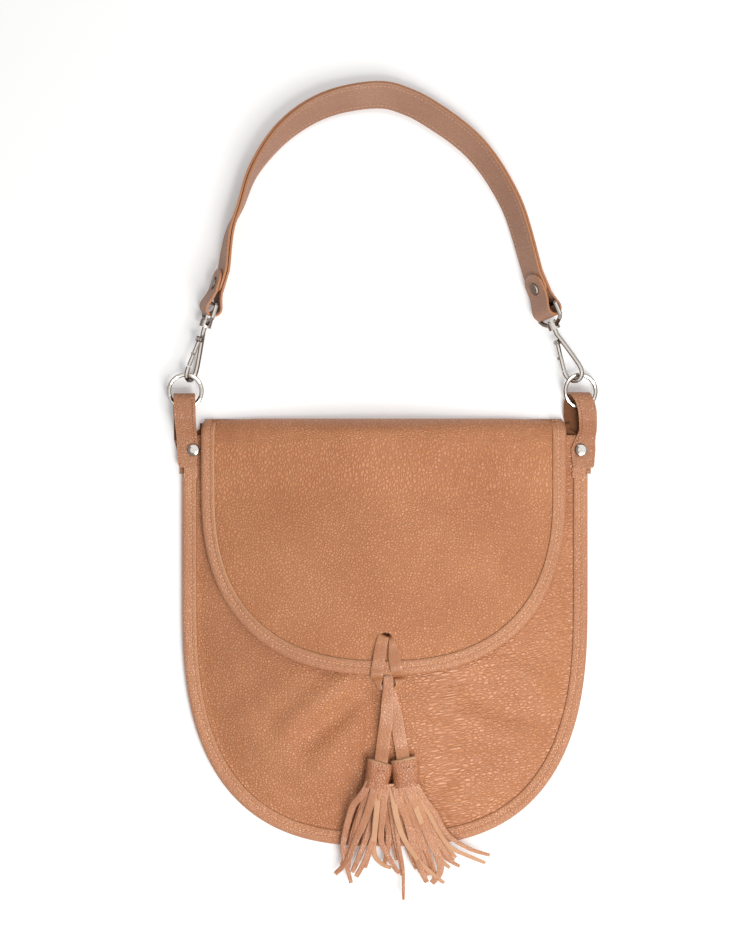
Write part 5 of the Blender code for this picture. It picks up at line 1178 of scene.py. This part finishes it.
# A strip's end: up to its eye, round it, and back to a rounded tip
def strapEnd(side):
    overlap = strapLook["overlap"]
    points = [(overlap / 2, -layer), (overlap, -layer), (overlap + 4 * mm, -layer - 0.9 * mm)]
    for k in range(17):
        turn = math.radians(-110 + 220 * k / 16)
        points.append((strapLook["loopCentre"] + strapLook["loopRadius"] * math.cos(turn),
                       strapLook["loopRadius"] * math.sin(turn)))
    points.append((overlap + 4 * mm, layer + 0.9 * mm))
    points += [(overlap * share, layer) for share in (1, 0.7, 0.4, 0.2, 0.07, 0)]
    rows = []
    for along, out in points:
        half = strapLook["width"] / 2
        if out > 0 and along < overlap * 0.5:
            t = 1 - along / (overlap * 0.5)
            half = half * math.sqrt(max(0.06, 1 - t * t * 0.94))
        rows.append((atEnd(side, along, out), ends[side]["across"], half))
    return rows


middleOfStrap = strapMiddle()
strapFrames = {}
for name, nodeName, offset, loopSide in (("strapOuter", "strap_outer", layer / 2, "right"),
                                         ("strapInner", "strap_inner", -layer / 2, "left")):
    plainSide = "left" if loopSide == "right" else "right"
    half = strapLook["width"] / 2
    plain = [(atEnd(plainSide, along * mm, 0.0), ends[plainSide]["across"], half * share)
             for along, share in ((16, 0.35), (15, 0.7), (13, 0.93), (10, 1.0), (5, 1.0))]
    body = [(place + normal * offset, across, half) for place, across, normal in middleOfStrap]
    if loopSide == "left":
        body = body[::-1]
    rows = plain + body + strapEnd(loopSide)
    aligned = []
    for i, (place, across, half) in enumerate(rows):
        way = (rows[min(i + 1, len(rows) - 1)][0] - rows[max(i - 1, 0)][0]).normalized()
        across = (across - way * across.dot(way)).normalized()
        aligned.append((place, across, way.cross(across).normalized(), half))
    strapFrames[name] = aligned
    made = strip(name, aligned, strapLook["thick"])
    dress(made, "handle", [strapLeather, paintedEdge], [nodeName])
    paintFaces(made, lambda centre, normal: abs(normal.dot(nearest(aligned, centre)[1])) > 0.6)
print("strap made")

# a seam along each side of both strips, on both faces, short of their ends
strapSeam = {"in": 2.6 * mm, "up": 0.92 * mm, "pitch": 2.8 * mm, "length": 2.0 * mm, "radius": 0.22 * mm}
for name, frames in strapFrames.items():
    for label, way in (("Low", -1), ("High", 1)):
        for face, sign in (("In", -1), ("Out", 1)):
            path, ups = [], []
            for place, across, normal, half in frames[7:-18]:
                path.append(place + across * (way * (half - strapSeam["in"]))
                            + normal * (sign * strapSeam["up"]))
                ups.append(normal * sign)
            stitchRow(name + label + face + "Seam", "handle", "strap_leather", path, ups,
                      pitch=strapSeam["pitch"], length=strapSeam["length"], radius=strapSeam["radius"])


# Tabs that hold the rings: under the corner, round the ring and back over the front

tabLook = {"low": 111.8 * mm, "rivetY": 128.5 * mm, "riseStart": 149 * mm, "crest": 153 * mm,
           "thick": 1.5 * mm, "half": 7.6 * mm, "backRun": 18 * mm, "roughFrom": 138 * mm}
tabSeam = {"in": 2.2 * mm, "up": 0.7 * mm, "pitch": 2.0 * mm, "length": 1.2 * mm, "radius": 0.42 * mm}
bindEnd = {"x": 136.7 * mm, "low": 109 * mm, "up": 5.65 * mm, "half": 4.8 * mm, "thick": 1.4 * mm}
# foot and back shift the hidden strip; front: height up the bag, shift and half width in millimetres
tabs = {
    "left": {"x": -140.3 * mm, "end": 168.4 * mm, "below": 3.6 * mm, "above": 5.6 * mm, "foot": 2.8 * mm,
             "back": -1.2 * mm, "turns": 120 * mm, "low": 116.4 * mm, "inner": 1, "front": (
                 (116, 1.2, 5.6), (118.5, 1.3, 6.7), (124, 1.4, 7.2), (128.5, 1.5, 7.6), (134, 1.2, 7.5),
                 (138, 0.8, 7.3), (146, 0.5, 7.4), (156, 0.2, 7.6), (172, -0.1, 7.7))},
    "right": {"x": 137.9 * mm, "end": 169.2 * mm, "below": 4.6 * mm, "above": 7.3 * mm, "foot": 0.0,
              "back": -4.5 * mm, "turns": 136 * mm, "low": 115.6 * mm, "inner": -1, "front": (
                  (115, 2.0, 5.4), (117.5, 1.9, 7.6), (128.5, 1.7, 8.7), (134, 2.6, 7.6), (142.5, 4.8, 6.2),
                  (156, 3.5, 6.5), (164, 1.5, 6.7), (172, 0.3, 6.9))},
}


def tabFrames(tab):
    thick = tabLook["thick"]
    low = metalPlan["lineZ"] - tab["below"] - thick / 2
    high = metalPlan["lineZ"] + tab["above"] + thick / 2
    radius = (high - low) / 2
    turnY = tab["end"] - thick / 2 - radius
    foot, front = thick / 2, belly["rim"] + gap + thick / 2
    path = [(tabLook["low"], foot, 0.0), (tabLook["rivetY"], foot, 0.0), (tabLook["riseStart"], foot, 0.0),
            (mix(tabLook["riseStart"], turnY, 0.55), mix(foot, low, 0.8), 0.0), (turnY, low, 0.0)]
    for k in range(1, 10):
        turn = math.pi * k / 10
        path.append((turnY + radius * math.sin(turn), low + radius * (1 - math.cos(turn)), k / 10))
    path += [(turnY, high, 1.0), (tabLook["crest"], high, 1.0),
             (mix(tabLook["crest"], belly["mouth"], 0.5), mix(high, front, 0.42), 1.0),
             (belly["mouth"] + 1 * mm, mix(high, front, 0.9), 1.0), (belly["mouth"] - 4 * mm, front, 1.0),
             (tabLook["rivetY"], front, 1.0), (tab["low"] + 4 * mm, front, 1.0),
             (tab["low"] + 1.5 * mm, front, 1.0), (tab["low"], front, 1.0)]
    row = smoothRow([(ahead, y, z) for y, z, ahead in path], 3)
    heights, shifts, halves = np.array(tab["front"]).T * mm
    frames = []
    for i, place in enumerate(row):
        way = row[min(i + 1, len(row) - 1)] - row[max(i - 1, 0)]
        normal = Vector((1, 0, 0)).cross(Vector((0, way.y, way.z)).normalized())
        ahead = min(max(place.x, 0.0), 1.0)
        back = mix(tab["foot"], tab["back"], float(smooth((place.y - tab["turns"]) / tabLook["backRun"])))
        shift = mix(back, float(np.interp(place.y, heights, shifts)), ahead)
        half = mix(tabLook["half"], float(np.interp(place.y, heights, halves)), ahead)
        frames.append((Vector((tab["x"] + shift, place.y, place.z)), Vector((1, 0, 0)), normal, half))
    return frames


for side, tab in tabs.items():
    frames = tabFrames(tab)
    made = strip(side + "Tab", frames, tabLook["thick"])
    dress(made, "bag", [tabLeatherPaintedShade, roughSidePaintedShade], [side + "_tab"])
    # the hide's rough side lies inside the loop, painted dark brown as the shade there
    paintFaces(made, lambda centre, facing: facing.dot(nearest(frames, centre)[2]) > 0.5
               and centre.y > tabLook["roughFrom"])
    path, ups = [], []
    for place, across, normal, half in frames[len(frames) // 2 + 6:-10]:
        path.append(place + across * (tab["inner"] * (half - tabSeam["in"])) - normal * tabSeam["up"])
        ups.append(-normal)
    stitchRow(side + "TabSeam", "bag", "tan_leather", path, ups, pitch=tabSeam["pitch"],
              length=tabSeam["length"], radius=tabSeam["radius"], finish=tabThread)
    # the body's binding runs on up to the tab's foot
    x, top = math.copysign(bindEnd["x"], tab["x"]), tab["low"] + 1 * mm
    row = [Vector((x, mix(bindEnd["low"], top, k / 4), bindEnd["up"])) for k in range(5)]
    tip = strip(side + "BindEnd", stripFrames(row, bindEnd["half"]), bindEnd["thick"])
    dress(tip, "bag", [bindingLeather])
print("tabs made")

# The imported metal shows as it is, under its own finish
for name, cadNode in frame["nodes"].items():
    if any(word in name for word in ("ring", "clip", "gate", "rivet", "snap", "pin")):
        for held in cadNode.material_slots:
            held.material = capNickel if name.endswith("tab_rivet_cap") else nickel
print("metal finished")


# Studio: a pale floor, broad soft light from the lower right, a smaller one for the gloss, one from the top
studio = {"floorTint": 0.9, "floorGlow": 0.15, "world": 0.4, "aim": (0, 0.05, 0), "lights": {
    "keyLight": {"place": (0.45, -0.62, 0.95), "size": 0.55, "power": 8.0, "colour": (1.0, 0.985, 0.965)},
    "glossLight": {"place": (0.26, -0.3, 1.25), "size": 0.3, "power": 5.6, "colour": (1.0, 0.99, 0.97)},
    "topLight": {"place": (0.45, 0.98, 0.95), "size": 0.7, "power": 4.0, "colour": (0.98, 0.99, 1.0)},
}}


# 1 where the camera or a reflection looks, 0 for the light that falls on the bag
def seenRays(tree):
    rays = node(tree, "ShaderNodeLightPath").outputs
    return reckon(tree, "MAXIMUM", rays["Is Camera Ray"], rays["Is Glossy Ray"])


deselectAll()
bpy.ops.mesh.primitive_plane_add(size=6, location=(0, 0.1, 0))
floor = bpy.context.object
floor.name = "floor"
floorPaint, tree, shader = emptyMaterial("paleFloor")
feed(tree, shader, {
    "Base Color": (studio["floorTint"], studio["floorTint"], studio["floorTint"], 1), "Roughness": 0.9,
    "Specular IOR Level": 0.0, "Emission Color": (1, 1, 1, 1),
    "Emission Strength": reckon(tree, "MULTIPLY", seenRays(tree), studio["floorGlow"])})
floor.data.materials.append(floorPaint)

for name, settings in studio["lights"].items():
    lamp = bpy.data.lights.new(name, "AREA")
    lamp.shape = "SQUARE"
    lamp.size = settings["size"]
    lamp.energy = settings["power"]
    lamp.color = settings["colour"]
    holder = bpy.data.objects.new(name, lamp)
    holder.location = settings["place"]
    aim = Vector(studio["aim"]) - Vector(settings["place"])
    holder.rotation_euler = aim.to_track_quat("-Z", "Y").to_euler()
    bpy.context.scene.collection.objects.link(holder)

world = bpy.data.worlds.new("studioWorld")
bpy.context.scene.world = world
world.use_nodes = True
tree = world.node_tree
feed(tree, tree.nodes["Background"], {
    "Color": (1, 1, 1, 1), "Strength": stretch(tree, seenRays(tree), 0.0, 1.0, studio["world"], 1.0)})

cameraPlan = {"x": -7 * mm, "y": 110.6 * mm, "distance": 1.6, "lens": 85.7}
view = bpy.data.cameras.new("photoView")
view.lens = cameraPlan["lens"]
view.sensor_width = 36
eye = bpy.data.objects.new("photoView", view)
eye.location = (cameraPlan["x"], cameraPlan["y"], cameraPlan["distance"])
bpy.context.scene.collection.objects.link(eye)
bpy.context.scene.camera = eye
bpy.context.scene.view_settings.view_transform = "Standard"
print("studio set")
